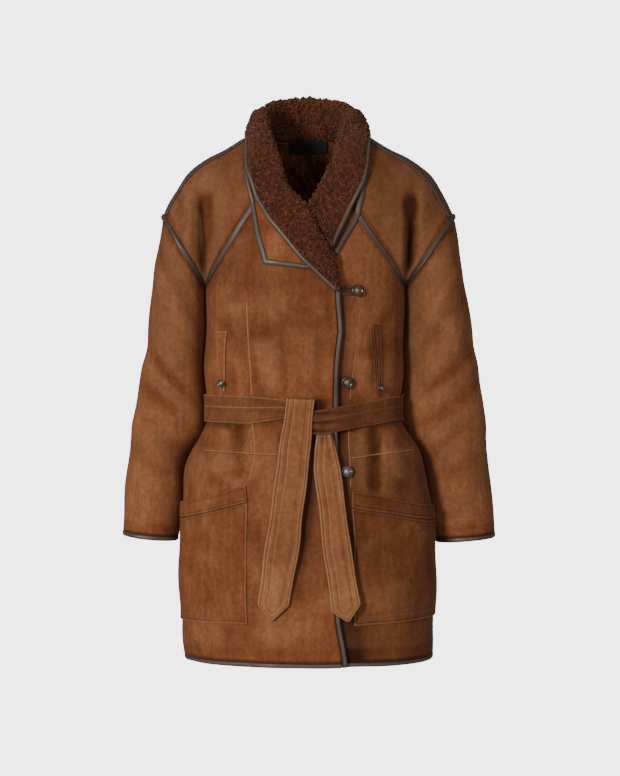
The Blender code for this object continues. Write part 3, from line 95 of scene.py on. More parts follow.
# z, half width to the left and the right, half depth to the front and the back
BODY = np.array((
    (-0.877, 0.2080, 0.2095, 0.130, 0.132), (-0.845, 0.2125, 0.2115, 0.131, 0.132),
    (-0.779, 0.2160, 0.2130, 0.130, 0.131), (-0.670, 0.2160, 0.2110, 0.127, 0.128),
    (-0.604, 0.2125, 0.2060, 0.123, 0.124), (-0.549, 0.2065, 0.1950, 0.116, 0.116),
    (-0.527, 0.1980, 0.1880, 0.111, 0.111), (-0.506, 0.1860, 0.1755, 0.105, 0.105),
    (-0.480, 0.1735, 0.1600, 0.099, 0.099), (-0.455, 0.1720, 0.1550, 0.097, 0.097),
    (-0.430, 0.1735, 0.1560, 0.100, 0.099), (-0.390, 0.1755, 0.1600, 0.108, 0.106),
    (-0.340, 0.1740, 0.1610, 0.114, 0.113), (-0.250, 0.1725, 0.1630, 0.115, 0.120),
    (-0.180, 0.1735, 0.1650, 0.111, 0.122), (-0.107, 0.1760, 0.1680, 0.099, 0.117),
    (-0.040, 0.1780, 0.1700, 0.080, 0.102), (0.030, 0.1800, 0.1720, 0.062, 0.078),
))

# x and z of a crease's upper end, x and z of its lower end, half width, height
FRONT_FOLDS = (
    (-0.107, -0.482, -0.113, -0.575, 0.013, -0.0060), (-0.140, -0.485, -0.152, -0.560, 0.015, 0.0040),
    (0.105, -0.484, 0.110, -0.595, 0.013, -0.0060), (0.135, -0.485, 0.150, -0.570, 0.014, 0.0040),
    (-0.075, -0.340, -0.060, -0.430, 0.020, 0.0030), (-0.135, -0.300, -0.128, -0.425, 0.017, -0.0035),
    (0.130, -0.290, 0.126, -0.425, 0.017, -0.0035), (0.095, -0.370, 0.088, -0.430, 0.016, 0.0030),
)
BACK_FOLDS = (
    (-0.118, -0.482, -0.130, -0.590, 0.014, -0.0060), (-0.055, -0.482, -0.062, -0.610, 0.018, 0.0045),
    (0.020, -0.484, 0.024, -0.560, 0.015, -0.0045), (0.075, -0.482, 0.086, -0.620, 0.018, 0.0045),
    (0.128, -0.484, 0.138, -0.575, 0.014, -0.0050), (-0.095, -0.300, -0.080, -0.430, 0.020, -0.0040),
    (0.090, -0.310, 0.078, -0.430, 0.020, -0.0040),
)

SHOULDER_LINE = ((0.080, 0.0205), (0.118, -0.0030), (0.142, -0.0170), (0.170, -0.0306), (0.1905, -0.0442),
                 (0.206, -0.0578), (0.2235, -0.0850), (0.239, -0.1122), SHOULDER_TIP)
OVER_NECKLINE = ((-0.0827, -0.1066), (-0.0548, -0.1181), (-0.0302, -0.1362), (0.0010, -0.1804), (0.0190, -0.2051),
                 (0.0354, -0.2313), (0.0460, -0.2570))
UNDER_NECKLINE = ((0.0633, -0.1132), (0.0453, -0.1329), (0.0321, -0.1526), (0.0206, -0.1722), (0.0026, -0.1952),
                  (-0.0204, -0.2247), (HIDDEN_EDGE_X, -0.2450))
BACK_NECK = (0.052, 0.0060)
OVER_EDGE = np.array(((0.0545, -0.8690), (0.0490, -0.8330), (0.0450, -0.7921), (0.0410, -0.6044), (0.0420, -0.5065),
                      (0.0405, -0.4477), (0.0455, -0.3596), (0.0490, -0.2700), (0.0460, -0.2570)))

# outer x and z, inner x and z, half depth and middle in Y of the sleeve's sections
ARMS = {
    -1: np.array((
        (-0.2470, -0.1300, -0.1725, -0.2500, 0.0700, 0.000), (-0.2610, -0.2180, -0.1746, -0.3100, 0.0725, 0.010),
        (-0.2765, -0.3260, -0.1757, -0.3900, 0.0715, 0.028), (-0.2855, -0.3800, -0.1752, -0.4300, 0.0692, 0.037),
        (-0.2945, -0.4350, -0.1745, -0.4700, 0.0665, 0.042), (-0.3000, -0.4680, -0.1803, -0.5000, 0.0640, 0.043),
        (-0.3045, -0.5000, -0.1955, -0.5250, 0.0610, 0.042), (-0.3085, -0.5350, -0.2070, -0.5550, 0.0585, 0.040),
        (-0.3120, -0.5700, -0.2110, -0.5850, 0.0560, 0.037), (-0.3170, -0.6300, -0.2165, -0.6370, 0.0525, 0.032),
        (-0.3180, -0.6640, -0.2225, -0.6745, 0.0505, 0.028),
    )),
    1: np.array((
        (0.2470, -0.1300, 0.1630, -0.2500, 0.0700, 0.000), (0.2620, -0.2180, 0.1632, -0.3100, 0.0725, 0.010),
        (0.2830, -0.3260, 0.1602, -0.3900, 0.0715, 0.028), (0.2925, -0.3800, 0.1583, -0.4300, 0.0692, 0.037),
        (0.3000, -0.4350, 0.1592, -0.4700, 0.0665, 0.042), (0.3025, -0.4680, 0.1695, -0.5000, 0.0640, 0.043),
        (0.3045, -0.5000, 0.1857, -0.5250, 0.0610, 0.042), (0.3080, -0.5350, 0.1965, -0.5550, 0.0585, 0.040),
        (0.3110, -0.5700, 0.2025, -0.5850, 0.0560, 0.037), (0.3175, -0.6340, 0.2110, -0.6400, 0.0525, 0.032),
        (0.3195, -0.6680, 0.2175, -0.6780, 0.0505, 0.028),
    )),
}
# share of the sleeve's length, the angle it faces, its height
ARM_FOLDS = ((0.22, 1.25, 0.0040), (0.47, 0.95, -0.0045), (0.58, 1.35, -0.0040), (0.72, 1.10, 0.0030))

# run along the neck seam, roll in 3-D, free edge in 3-D, thickness
COLLAR_ROWS = {
    -1: ((0.527, (-0.002, 0.098, 0.086), (-0.002, 0.124, -0.004), 0.0110),
         (0.472, (-0.048, 0.078, 0.078), (-0.080, 0.100, 0.002), 0.0110),
         (0.427, (-0.073, 0.030, 0.058), (-0.0985, 0.052, 0.010), 0.0110),
         (0.378, (-0.074, -0.020, 0.046), (-0.1020, -0.002, 0.018), 0.0110),
         (0.317, (-0.059, -0.058, 0.000), (-0.0990, -0.060, -0.008), 0.0105)),
    1: ((0.485, (-0.002, 0.098, 0.086), (-0.002, 0.124, -0.004), 0.0110),
        (0.437, (0.042, 0.078, 0.078), (0.076, 0.100, 0.002), 0.0110),
        (0.395, (0.067, 0.030, 0.058), (0.0945, 0.052, 0.012), 0.0110),
        (0.344, (0.069, -0.020, 0.046), (0.0980, -0.002, 0.020), 0.0110),
        (0.285, (0.053, -0.052, 0.006), (0.0965, -0.058, -0.006), 0.0105)),
}
# run along the neck seam, roll and free edge in front view, thickness
LAPEL_ROWS = {
    -1: ((0.232, (-0.0415, -0.0660), (-0.0890, -0.0790), 0.0100),
         (0.184, (-0.0285, -0.0940), (-0.0700, -0.1230), 0.0100),
         (0.145, (-0.0056, -0.1186), (-0.0490, -0.1530), 0.0100),
         (0.109, (0.0123, -0.1520), (-0.0300, -0.1780), 0.0100),
         (0.071, (0.0300, -0.1870), (-0.0075, -0.2045), 0.0095),
         (0.036, (0.0460, -0.2180), (0.0165, -0.2290), 0.0090),
         (0.004, (0.0530, -0.2440), (0.0385, -0.2500), 0.0080)),
    1: ((0.219, (0.0375, -0.0460), (0.0865, -0.0720), 0.0100),
        (0.187, (0.0245, -0.0737), (0.0755, -0.1015), 0.0100),
        (0.160, (0.0125, -0.0950), (0.0600, -0.1310), 0.0095),
        (0.110, (0.0024, -0.1160), (0.0400, -0.1800), 0.0090)),
}
COLLAR_FOOT_LIFT = {-1: 0.0042 - LAP_LIFT, 1: -0.0030}
COLLAR_FALL_LIFT = {-1: 0.0175, 1: 0.0088}
COLLAR_CLEARANCE, FLAP_CLEARANCE = 0.0082, 0.0108
BESIDE, FOOT_GAP, SEAM_LEAD, ARC_STEPS = 0.010, 0.0006, 0.006, 5
PIPING_GAP = 0.0010

FLAP_OUTER = ((-0.1060, -0.0260), (-0.1022, -0.0793), (-0.0907, -0.1383), (-0.0809, -0.1792), (-0.0727, -0.2190))
FLAP_INNER = ((-0.0925, -0.0300), (-0.0895, -0.0790), (-0.0720, -0.1270), (-0.0370, -0.1660), (0.0150, -0.2290))
NECK_TAPE = ((0.1010, -0.0130), (0.0985, -0.0330), (0.0952, -0.0600), (0.0900, -0.0880), (0.0856, -0.1120),
             (0.0798, -0.1357), (0.0610, -0.1710), (0.0430, -0.2030))

BELT_LIFT, BELT_OVER_EDGE_LIFT, BELT_THICKNESS = 0.0016, 0.0022, 0.0035
# x, upper z, lower z
BELT_BACK = np.array(((-1.0, -0.4315, -0.4790), (1.0, -0.4315, -0.4790)))
BELT_LEFT = np.array(((-0.1740, -0.4315, -0.4790), (-0.0919, -0.4350, -0.4808), (-0.0418, -0.4395, -0.4725),
                      (-0.0120, -0.4415, -0.4700)))
BELT_RIGHT = np.array(((-0.0085, -0.4600, -0.4990), (0.0180, -0.4582, -0.4975), (0.0850, -0.4462, -0.4865),
                       (0.1520, -0.4336, -0.4750), (0.1600, -0.4335, -0.4745)))
BELT_MIDDLE_Z = -0.45525
RAMP_FROM_X, RAMP_TO_X = 0.055, 0.095
# x and z of the left edge, x and z of the right edge, distance out of the front
LEFT_TAIL = np.array((
    (-0.0372, -0.4398, 0.0120, -0.4425, 0.0062), (-0.0398, -0.4560, 0.0100, -0.4600, 0.0062),
    (-0.0418, -0.4740, 0.0078, -0.4780, 0.0062), (-0.0450, -0.5020, 0.0050, -0.5040, 0.0100),
    (-0.0500, -0.5450, 0.0005, -0.5480, 0.0115), (-0.0582, -0.6037, -0.0055, -0.6037, 0.0105),
    (-0.0665, -0.6620, -0.0135, -0.6640, 0.0085), (-0.0742, -0.7170, -0.0223, -0.7190, 0.0060),
    (-0.0820, -0.7713, -0.0316, -0.7739, 0.0045), (-0.0594, -0.7970, -0.0556, -0.7974, 0.0045),
))
RIGHT_TAIL = np.array((
    (0.0130, -0.4984, 0.0401, -0.4944, 0.0022), (0.0100, -0.5200, 0.0450, -0.5180, 0.0020),
    (0.0091, -0.5536, 0.0522, -0.5536, 0.0020), (0.0128, -0.5950, 0.0575, -0.5950, 0.0020),
    (0.0173, -0.6366, 0.0629, -0.6366, 0.0020), (0.0240, -0.6870, 0.0702, -0.6820, 0.0025),
    (0.0310, -0.7360, 0.0777, -0.7280, 0.0030), (0.0380, -0.7833, 0.0850, -0.7719, 0.0035),
    (0.0641, -0.8008, 0.0679, -0.7996, 0.0035),
))

POCKET_LIFT, POCKET_THICKNESS, BAND_THICKNESS, POCKET_SIDE_ANGLE = 0.0006, 0.0026, 0.0034, 0.030
POCKET_INNER_X = {-1: -0.1007, 1: 0.0716}
BANDS = {-1: np.array(((-0.2130, -0.6130, -0.6388), (-0.1007, -0.5815, -0.6090))),
         1: np.array(((0.0716, -0.5892, -0.6166), (0.2060, -0.6180, -0.6418)))}
POCKETS = {-1: np.array(((-0.2130, -0.6393, -0.8090), (-0.1007, -0.6095, -0.8064))),
           1: np.array(((0.0716, -0.6171, -0.8094), (0.2060, -0.6423, -0.8035)))}
WELT_LIFT, WELT_THICKNESS = 0.0007, 0.0030
# z, left x, right x
WELTS = {-1: np.array(((-0.3276, -0.1508, -0.1343), (-0.3780, -0.1478, -0.1368), (-0.4275, -0.1448, -0.1388))),
         1: np.array(((-0.3161, 0.1038, 0.1158), (-0.3760, 0.1090, 0.1190), (-0.4360, 0.1143, 0.1223)))}
BUTTON_PLACES = {"upper": (0.0787, -0.2625), "middle": (0.0637, -0.4113), "lower": (0.0614, -0.5588)}
SMALL_BUTTON_PLACES = {"left": (-0.1420, -0.4130), "right": (0.1172, -0.4211)}


# ---------------------------------------------------------------- small sums


def mix(a: Array, b: Array, share: Array) -> Array:
    """Returns a + (b - a) * share."""
    return a + (b - a) * share


def smooth_step(value: Array) -> Array:
    """Returns 3 v^2 - 2 v^3, with v held between 0 and 1."""
    value = np.clip(value, 0.0, 1.0)
    return value * value * (3.0 - 2.0 * value)


def ramp(value: Array, start: float, width: float) -> Array:
    """Returns a smooth rise from 0 where the value is start to 1 where it is start + width."""
    return smooth_step((value - start) / width)


def unit(vectors: Array) -> Array:
    """Returns the vectors divided by their lengths."""
    return vectors / np.maximum(np.linalg.norm(vectors, axis=-1, keepdims=True), 1e-12)


def bell(distance: Array) -> Array:
    """Returns exp(-d^2)."""
    return np.exp(-distance * distance)


def through(xs: Array, ys: Array, at: Array) -> Array:
    """Reads a smooth curve through points: cubic between each two, with three-point slopes.

    Args:
        xs: where the points are, rising.
        ys: their values, one row each.
        at: where the curve is read.

    Returns:
        The values at those places.
    """
    xs, ys, at = np.asarray(xs, float), np.asarray(ys, float), np.asarray(at, float)
    slopes = np.gradient(ys, xs, axis=0)
    k = np.clip(np.searchsorted(xs, at) - 1, 0, len(xs) - 2)
    width = xs[k + 1] - xs[k]
    t = np.clip((at - xs[k]) / width, 0.0, 1.0)
    extra = (slice(None),) * t.ndim + (None,) * (ys.ndim - 1)
    t, width = t[extra], width[extra]
    h00, h10 = (1 + 2 * t) * (1 - t) ** 2, t * (1 - t) ** 2
    h01, h11 = t * t * (3 - 2 * t), t * t * (t - 1)
    return h00 * ys[k] + h10 * width * slopes[k] + h01 * ys[k + 1] + h11 * width * slopes[k + 1]


def finer(grid: Array, rows: int, columns: int, is_ring: bool = False) -> Array:
    """Reads a grid of points at more rows and columns, on smooth curves through its own.

    Args:
        grid: the points, rows by columns by 3.
        rows: how many rows are wanted.
        columns: how many columns are wanted.
        is_ring: whether the last column meets the first.

    Returns:
        The finer grid.
    """
    made = through(np.arange(len(grid)), grid, np.linspace(0, len(grid) - 1, rows))
    across = made.transpose(1, 0, 2)
    if not is_ring:
        read = through(np.arange(len(across)), across, np.linspace(0, len(across) - 1, columns))
        return read.transpose(1, 0, 2)
    around = np.concatenate([across[-2:], across, across[:2]])
    places = np.linspace(0, len(across), columns, endpoint=False) + 2
    return through(np.arange(len(around)), around, places).transpose(1, 0, 2)


def run_of(line: Array) -> Array:
    """Returns the distance along a line at each of its points."""
    return np.concatenate([[0.0], np.cumsum(np.linalg.norm(np.diff(line, axis=0), axis=1))])


def read_along(values: Array, line: Array, at: Array) -> Array:
    """Reads values that go with a line's points at distances along it."""
    flat, run = values.reshape(len(values), -1), run_of(line)
    read = np.stack([np.interp(at, run, flat[:, c]) for c in range(flat.shape[1])], axis=-1)
    return read.reshape((len(at),) + values.shape[1:])


def along_line(places: Sequence, steps: int) -> Array:
    """Returns steps + 1 evenly spaced points on a smooth line through the given ones."""
    line = np.array(places, float)
    run = run_of(line)
    return through(run, line, np.linspace(0.0, run[-1], steps + 1))


def full_turn(count: int) -> Array:
    """Returns evenly spaced angles once round."""
    return np.linspace(0.0, 2 * math.pi, count, endpoint=False)


def directions(line: Array) -> Array:
    """Returns the directions along a line at its points."""
    return unit(np.gradient(line, axis=0))


def eased(count: int) -> Array:
    """Returns shares from 0 to 1 that lie closer together near both ends: (1 - cos(pi t)) / 2."""
    return (1 - np.cos(np.linspace(0.0, math.pi, count))) / 2


def grid_normals(points: Array, towards: Array, is_ring: bool = False) -> Array:
    """Works out the outward directions of a grid: the cross product of its two gradients.

    Args:
        points: the grid.
        towards: a direction, or one for each point, that the outward side faces on the whole.
        is_ring: whether the last column meets the first.

    Returns:
        A unit direction for each point.
    """
    if is_ring:
        wrapped = np.concatenate([points[:, -1:], points, points[:, :1]], axis=1)
        across = np.gradient(wrapped, axis=1)[:, 1:-1]
    else:
        across = np.gradient(points, axis=1)
    normals = unit(np.cross(across, np.gradient(points, axis=0)))
    return normals if np.sum(normals * towards) > 0 else -normals


class Curls:
    """Lumps of fleece: one lump at a random place in each cell of a cubic lattice, 1 - d^2 high at distance d."""

    TABLE = 32

    def __init__(self, seed: int) -> None:
        """Draws the places of the lumps in their cells."""
        self.places = np.random.default_rng(seed).random((self.TABLE,) * 3 + (3,))

    def height(self, points: Array, size: float) -> Array:
        """Works out how high the lumps stand at some points.

        Args:
            points: the points.
            size: the side of a cell in metres.

        Returns:
            A height from 0 in the hollows to 1 on the lumps.
        """
        scaled = points.reshape(-1, 3) / size
        cell = np.floor(scaled).astype(int)
        nearest = np.full(len(scaled), 9.0)
        for offset in np.ndindex(3, 3, 3):
            beside = cell + np.array(offset) - 1
            place = beside + self.places[tuple((beside % self.TABLE).T)]
            nearest = np.minimum(nearest, np.sum((scaled - place) ** 2, axis=1))
        return (1 - np.clip(nearest, 0, 1)).reshape(points.shape[:-1])


CURLS = Curls(seed=11)


class Wrinkle(NamedTuple):
    """A crease of every layer together, from one point to another in front view, at the front (-1) or the back (1)."""

    x_top: float
    z_top: float
    x_bottom: float
    z_bottom: float
    half_width: float
    height: float
    facing: float


class Sway:
    """Moves all pieces together where the cloth gives, so that what lies on a panel stays on it.

    The movement at a point is a sum of slow waves, a sin(k . p + phase), plus a bell across the line of each
    wrinkle. It is the same for every layer, because it is a function of the place alone.
    """

    WAVES = 7
    WAVE_HEIGHT = 0.0007

    def __init__(self, wrinkles: Sequence[Wrinkle], seed: int) -> None:
        """Keeps the wrinkles and draws the waves."""
        draw = np.random.default_rng(seed)
        self.wrinkles = wrinkles
        self.waves = unit(draw.normal(size=(self.WAVES, 3))) * draw.uniform(45.0, 95.0, (self.WAVES, 1))
        self.phases = draw.uniform(0.0, 2 * math.pi, self.WAVES)
        self.ways = unit(draw.normal(size=(self.WAVES, 3)) * [1.0, 1.6, 0.5])

    def moved(self, points: Array) -> Array:
        """Returns the points where the cloth carries them."""
        flat = points.reshape(-1, 3)
        shift = (np.sin(flat @ self.waves.T + self.phases) * self.WAVE_HEIGHT) @ self.ways
        for fold, height in self.creased(flat):
            shift[:, 1] += fold.facing * height
        return (flat + shift).reshape(points.shape)

    def painted_wrinkle_shade(self, points: Array) -> Array:
        """Returns the painted shade of the points that lie in a wrinkle, from 0 to 0.5."""
        depth = -sum(height for _, height in self.creased(points.reshape(-1, 3)))
        return np.clip(depth / 0.012, 0.0, 0.5)

    def creased(self, flat: Array) -> list[tuple[Wrinkle, Array]]:
        """Returns each wrinkle with its height at some points."""
        made = []
        for fold in self.wrinkles:
            line = np.array([fold.x_bottom - fold.x_top, fold.z_bottom - fold.z_top])
            length = np.linalg.norm(line)
            line = line / length
            offset = flat[:, ::2] - [fold.x_top, fold.z_top]
            share = offset @ line / length
            across = (offset @ [-line[1], line[0]]) / fold.half_width
            fade = smooth_step(share / 0.25) * smooth_step((1 - share) / 0.35)
            on_side = smooth_step(fold.facing * flat[:, 1] / 0.03 + 0.5)
            made.append((fold, fold.height * bell(across) * fade * on_side))
        return made


# ---------------------------------------------------------------- shader tools


def operator(operation: str, is_reflected: bool = False) -> Callable[["Value", object], "Value"]:
    """Returns a method that adds a Math node on its value and another; a reflected one has the other first."""
    def method(value: "Value", other: object) -> "Value":
        """Returns the node's output."""
        first, second = (other, value) if is_reflected else (value, other)
        return value.shader.node("ShaderNodeMath", {"operation": operation}, {0: first, 1: second})

    return method


class Value:
    """A shader socket that takes part in sums; each sum adds a Math node."""

    __add__, __radd__ = operator("ADD"), operator("ADD", True)
    __sub__, __rsub__ = operator("SUBTRACT"), operator("SUBTRACT", True)
    __mul__, __rmul__ = operator("MULTIPLY"), operator("MULTIPLY", True)

    def __init__(self, shader: "Shader", socket: bpy.types.NodeSocket) -> None:
        """Keeps the socket and the shader that it belongs to."""
        self.shader, self.socket = shader, socket


Colour = tuple[float, float, float]


class Shader:
    """One material's node tree, with a Principled surface at its end."""

    def __init__(self, name: str) -> None:
        """Starts an empty material."""
        self.material = bpy.data.materials.new(name)
        self.material.use_nodes = True
        self.tree = self.material.node_tree
        self.tree.nodes.clear()
        self.surface = self.tree.nodes.new("ShaderNodeBsdfPrincipled")
        output = self.tree.nodes.new("ShaderNodeOutputMaterial")
        self.tree.links.new(self.surface.outputs["BSDF"], output.inputs["Surface"])

    def feed(self, socket: bpy.types.NodeSocket, value: object) -> None:
        """Links a value to a socket, or sets the socket to it."""
        if isinstance(value, Value):
            self.tree.links.new(value.socket, socket)
        elif isinstance(value, tuple) and socket.type == "RGBA":
            socket.default_value = (*value, 1.0)
        else:
            socket.default_value = value

    def node(self, kind: str, settings: dict, inputs: dict, output: object = 0) -> Value:
        """Adds a node.

        Args:
            kind: the node's type.
            settings: its options, set first; "stops" holds a ramp's places and colours.
            inputs: the values or links of its sockets, by name or number.
            output: the socket that is returned.

        Returns:
            That output.
        """
        made = self.tree.nodes.new(kind)
        for key, value in settings.items():
            if key == "stops":
                ramp = made.color_ramp.elements
                for i, (place, colour) in enumerate(value):
                    stop = ramp[i] if i < 2 else ramp.new(place)
                    stop.position, stop.color = place, (*colour, 1.0)
            else:
                setattr(made, key, value)
        for key, value in inputs.items():
            self.feed(made.inputs[key], value)
        return Value(self, made.outputs[output])

    def place(self, scale: Colour = (1.0, 1.0, 1.0)) -> Value:
        """Returns the Object coordinates, stretched by scale."""
        coordinates = self.node("ShaderNodeTexCoord", {}, {}, "Object")
        stretched = {"Vector": coordinates, "Scale": scale}
        return coordinates if scale == (1.0, 1.0, 1.0) else self.node("ShaderNodeMapping", {}, stretched)

    def noise(self, place: Value, scale: float, detail: float = 3.0, roughness: float = 0.55,
              distortion: float = 0.0) -> Value:
        """Returns a noise from 0 to 1 at a number of cells to the metre."""
        return self.node("ShaderNodeTexNoise", {}, {"Vector": place, "Scale": scale, "Detail": detail,
                                                    "Roughness": roughness, "Distortion": distortion})

    def cells(self, place: Value, scale: float) -> Value:
        """Returns the distance to the nearest point of a cell pattern at a number of cells to the metre."""
        return self.node("ShaderNodeTexVoronoi", {"feature": "F1"}, {"Vector": place, "Scale": scale}, "Distance")

    def ramp(self, value: object, *stops: tuple) -> Value:
        """Returns the colour of a value on a ramp of (place, colour) stops."""
        return self.node("ShaderNodeValToRGB", {"stops": stops}, {"Fac": value})

    def between(self, value: Value, low: float, high: float) -> Value:
        """Returns the value spread so that low gives 0 and high gives 1, held between them."""
        return self.node("ShaderNodeMapRange", {}, {0: value, 1: low, 2: high})

    def blend(self, share: object, first: object, second: object) -> Value:
        """Returns two colours mixed by a share."""
        return self.node("ShaderNodeMix", {"data_type": "RGBA"}, {0: share, 6: first, 7: second}, 2)

    def attribute(self, name: str) -> Value:
        """Returns a number that the mesh keeps at its points."""
        return self.node("ShaderNodeAttribute", {"attribute_name": name}, {}, "Fac")

    def bump(self, height: object, depth: float, strength: float, under: Optional[Value] = None) -> Value:
        """Returns a direction bent by a height, over another bend where one is given."""
        inputs = {"Height": height, "Distance": depth, "Strength": strength}
        if under is not None:
            inputs["Normal"] = under
        return self.node("ShaderNodeBump", {}, inputs)


# ---------------------------------------------------------------- finishes


@dataclass(frozen=True)
class Look:
    """A finish: its name, and what it feeds to the surface of a shader."""

    name: str

    def sockets(self, s: Shader) -> dict[str, object]:
        """Returns the surface's values by their sockets' names, with _ for a space."""
        raise NotImplementedError

    def material(self) -> bpy.types.Material:
        """Returns the finish as a material."""
        shader = Shader(self.name)
        for key, value in self.sockets(shader).items():
            shader.feed(shader.surface.inputs[key.replace("_", " ").title().replace("Ior", "IOR")], value)
        return shader.material


@dataclass(frozen=True)
class Suede(Look):
    """Brushed suede: patches where the nap lies another way, a fine grain, painted shade in creases and under other
    pieces, and rubbed edges with painted highlights.
    """

    name: str = "tan suede"
    dark: Colour = (0.112, 0.032, 0.0130)
    middle: Colour = (0.200, 0.067, 0.0262)
    light: Colour = (0.310, 0.124, 0.0530)
    # crease: the colour of painted shade, which the shade mark blends towards
    crease: Colour = (0.026, 0.008, 0.0035)
    rubbed_and_highlight: Colour = (0.420, 0.205, 0.0980)
    reddish: Colour = (0.165, 0.044, 0.0180)

    def sockets(self, s: Shader) -> dict[str, object]:
        """Returns the surface's values."""
        place = s.place()
        patches = s.noise(place, 11.0, 4.0, 0.6, 0.7)
        strokes = s.noise(s.place((70.0, 70.0, 16.0)), 1.0, 5.0, 0.62, 0.5)
        nap = s.noise(place, 150.0, 4.0, 0.6)
        grain = s.noise(place, 1500.0, 2.0, 0.6)
        tone = patches * 0.38 + strokes * 0.28 + nap * 0.24 + grain * 0.13
        colour = s.ramp(s.between(tone, 0.38, 0.65), (0.0, self.dark), (1.0, self.light), (0.5, self.middle))
        blush = s.noise(s.place((7.0, 7.0, 10.0)), 1.0, 5.0, 0.65, 1.2)
        colour = s.blend(s.between(blush, 0.47, 0.72) * 0.55, colour, self.reddish)
        # painted shade: the shade mark darkens the suede towards the crease colour
        colour = s.blend(s.attribute("shade"), colour, self.crease)
        # rubbed wear and painted highlights: this mark lightens it towards the rubbed colour
        colour = s.blend(s.attribute("wear_and_highlight") * (0.45 + nap * 0.8), colour, self.rubbed_and_highlight)
        soft = s.bump(nap, 0.0012, 0.35)
        fine = s.bump(grain, 0.0004, 0.45, soft)
        return dict(base_color=colour, roughness=0.90 + patches * 0.08, normal=fine, sheen_weight=0.10,
                    sheen_roughness=0.50, sheen_tint=(0.95, 0.58, 0.32), specular_ior_level=0.06)


@dataclass(frozen=True)
class Leather(Look):
    """Smooth dark leather: small pores, faint colour change, a soft shine, edges rubbed grey, painted highlights along
    its crowns and painted shade in its stitch grooves.
    """

    name: str = "dark brown leather"
    dark: Colour = (0.036, 0.020, 0.0125)
    light: Colour = (0.078, 0.047, 0.0315)
    # rubbed: the grey of rubbed edges, and also the colour of painted highlights
    rubbed_and_highlight: Colour = (0.140, 0.090, 0.0640)

    def sockets(self, s: Shader) -> dict[str, object]:
        """Returns the surface's values."""
        place = s.place()
        patches = s.noise(place, 60.0, 4.0, 0.6)
        pores = s.cells(place, 1400.0)
        grain = s.noise(place, 700.0, 4.0, 0.65)
        colour = s.ramp(patches * 0.6 + grain * 0.5, (0.30, self.dark), (0.80, self.light))
        worn = s.between(s.noise(place, 38.0, 3.0, 0.6), 0.36, 0.66)
        # rubbed edges and painted highlights lighten it
        colour = s.blend(s.attribute("wear_and_highlight") * (0.15 + grain * 0.5 + worn * 0.6), colour, self.rubbed_and_highlight)
        # painted shade: the shade mark darkens it towards near black
        colour = s.blend(s.attribute("shade"), colour, (0.012, 0.007, 0.005))
        bent = s.bump(pores * 0.6 + grain * 0.6, 0.0003, 0.55)
        return dict(base_color=colour, roughness=0.38 + patches * 0.20, normal=bent, coat_weight=0.08,
                    coat_roughness=0.25, specular_ior_level=0.40)


@dataclass(frozen=True)
class Fleece(Look):
    """Curly wool: lighter at the tips of its curls and dark between them, where the dark is painted shade, with fine
    fibres.
    """

    name: str = "curly brown shearling"
    deep: Colour = (0.008, 0.0025, 0.0012)
    middle: Colour = (0.040, 0.0096, 0.0039)
    tip: Colour = (0.262, 0.084, 0.0345)

    def sockets(self, s: Shader) -> dict[str, object]:
        """Returns the surface's values."""
        place = s.place()
        fibres = s.noise(place, 1300.0, 4.0, 0.7, 1.6)
        locks = s.noise(place, 460.0, 3.0, 0.6, 2.0)
        patches = s.noise(place, 25.0, 3.0)
        # low wool takes the deep colour: painted shade between the curls
        height = s.attribute("tuft") * 0.50 + s.between(locks, 0.36, 0.66) * 0.48 + fibres * 0.14 + patches * 0.12
        colour = s.ramp(s.between(height, 0.30, 1.02), (0.0, self.deep), (1.0, self.tip), (0.54, self.middle))
        curled = s.bump(locks, 0.0016, 0.8)
        fine = s.bump(fibres, 0.0006, 0.8, curled)
        return dict(base_color=colour, roughness=0.95, normal=fine, sheen_weight=0.25, sheen_roughness=0.6,
                    sheen_tint=(0.9, 0.46, 0.28), specular_ior_level=0.12)


@dataclass(frozen=True)
class Horn(Look):
    """Polished dark horn with paler streaks."""

    name: str = "dark polished horn"
    dark: Colour = (0.014, 0.010, 0.008)
    streak: Colour = (0.110, 0.070, 0.045)

    def sockets(self, s: Shader) -> dict[str, object]:
        """Returns the surface's values."""
        streaks = s.noise(s.place((260.0, 60.0, 160.0)), 1.0, 5.0, 0.6, 1.8)
        fine = s.noise(s.place(), 1800.0, 3.0)
        colour = s.ramp(streaks, (0.42, self.dark), (0.78, self.streak))
        return dict(base_color=colour, roughness=0.20 + fine * 0.16, coat_weight=0.4, coat_roughness=0.12,
                    normal=s.bump(fine, 0.0002, 0.3))


@dataclass(frozen=True)
class Brass(Look):
    """Aged brass, brown in its hollows."""

    name: str = "aged brass"
    dark: Colour = (0.028, 0.018, 0.010)
    bright: Colour = (0.420, 0.300, 0.160)

    def sockets(self, s: Shader) -> dict[str, object]:
        """Returns the surface's values."""
        stain = s.noise(s.place(), 900.0, 4.0, 0.65)
        bright = s.between(s.attribute("wear_and_highlight") * 0.75 + stain * 0.5, 0.25, 0.85)
        colour = s.blend(bright, self.dark, self.bright)
        return dict(base_color=colour, metallic=0.55 + bright * 0.40, roughness=0.34 + stain * 0.25,
                    normal=s.bump(stain, 0.0002, 0.4))


@dataclass(frozen=True)
class Thread(Look):
    """Twisted thread: slanting twists and a slight change of colour along the seam."""

    name: str
    colour: Colour
    shaded: Colour

    def sockets(self, s: Shader) -> dict[str, object]:
        """Returns the surface's values."""
        patches = s.noise(s.place(), 90.0, 3.0)
        twist = s.node("ShaderNodeTexWave", {"bands_direction": "DIAGONAL"}, {"Vector": s.place(), "Scale": 900.0,
                                                                              "Distortion": 1.0})
        colour = s.blend(s.between(patches * 0.6 + twist * 0.4, 0.2, 0.8), self.shaded, self.colour)
        return dict(base_color=colour, roughness=0.75, normal=s.bump(twist, 0.0002, 0.5), sheen_weight=0.15)


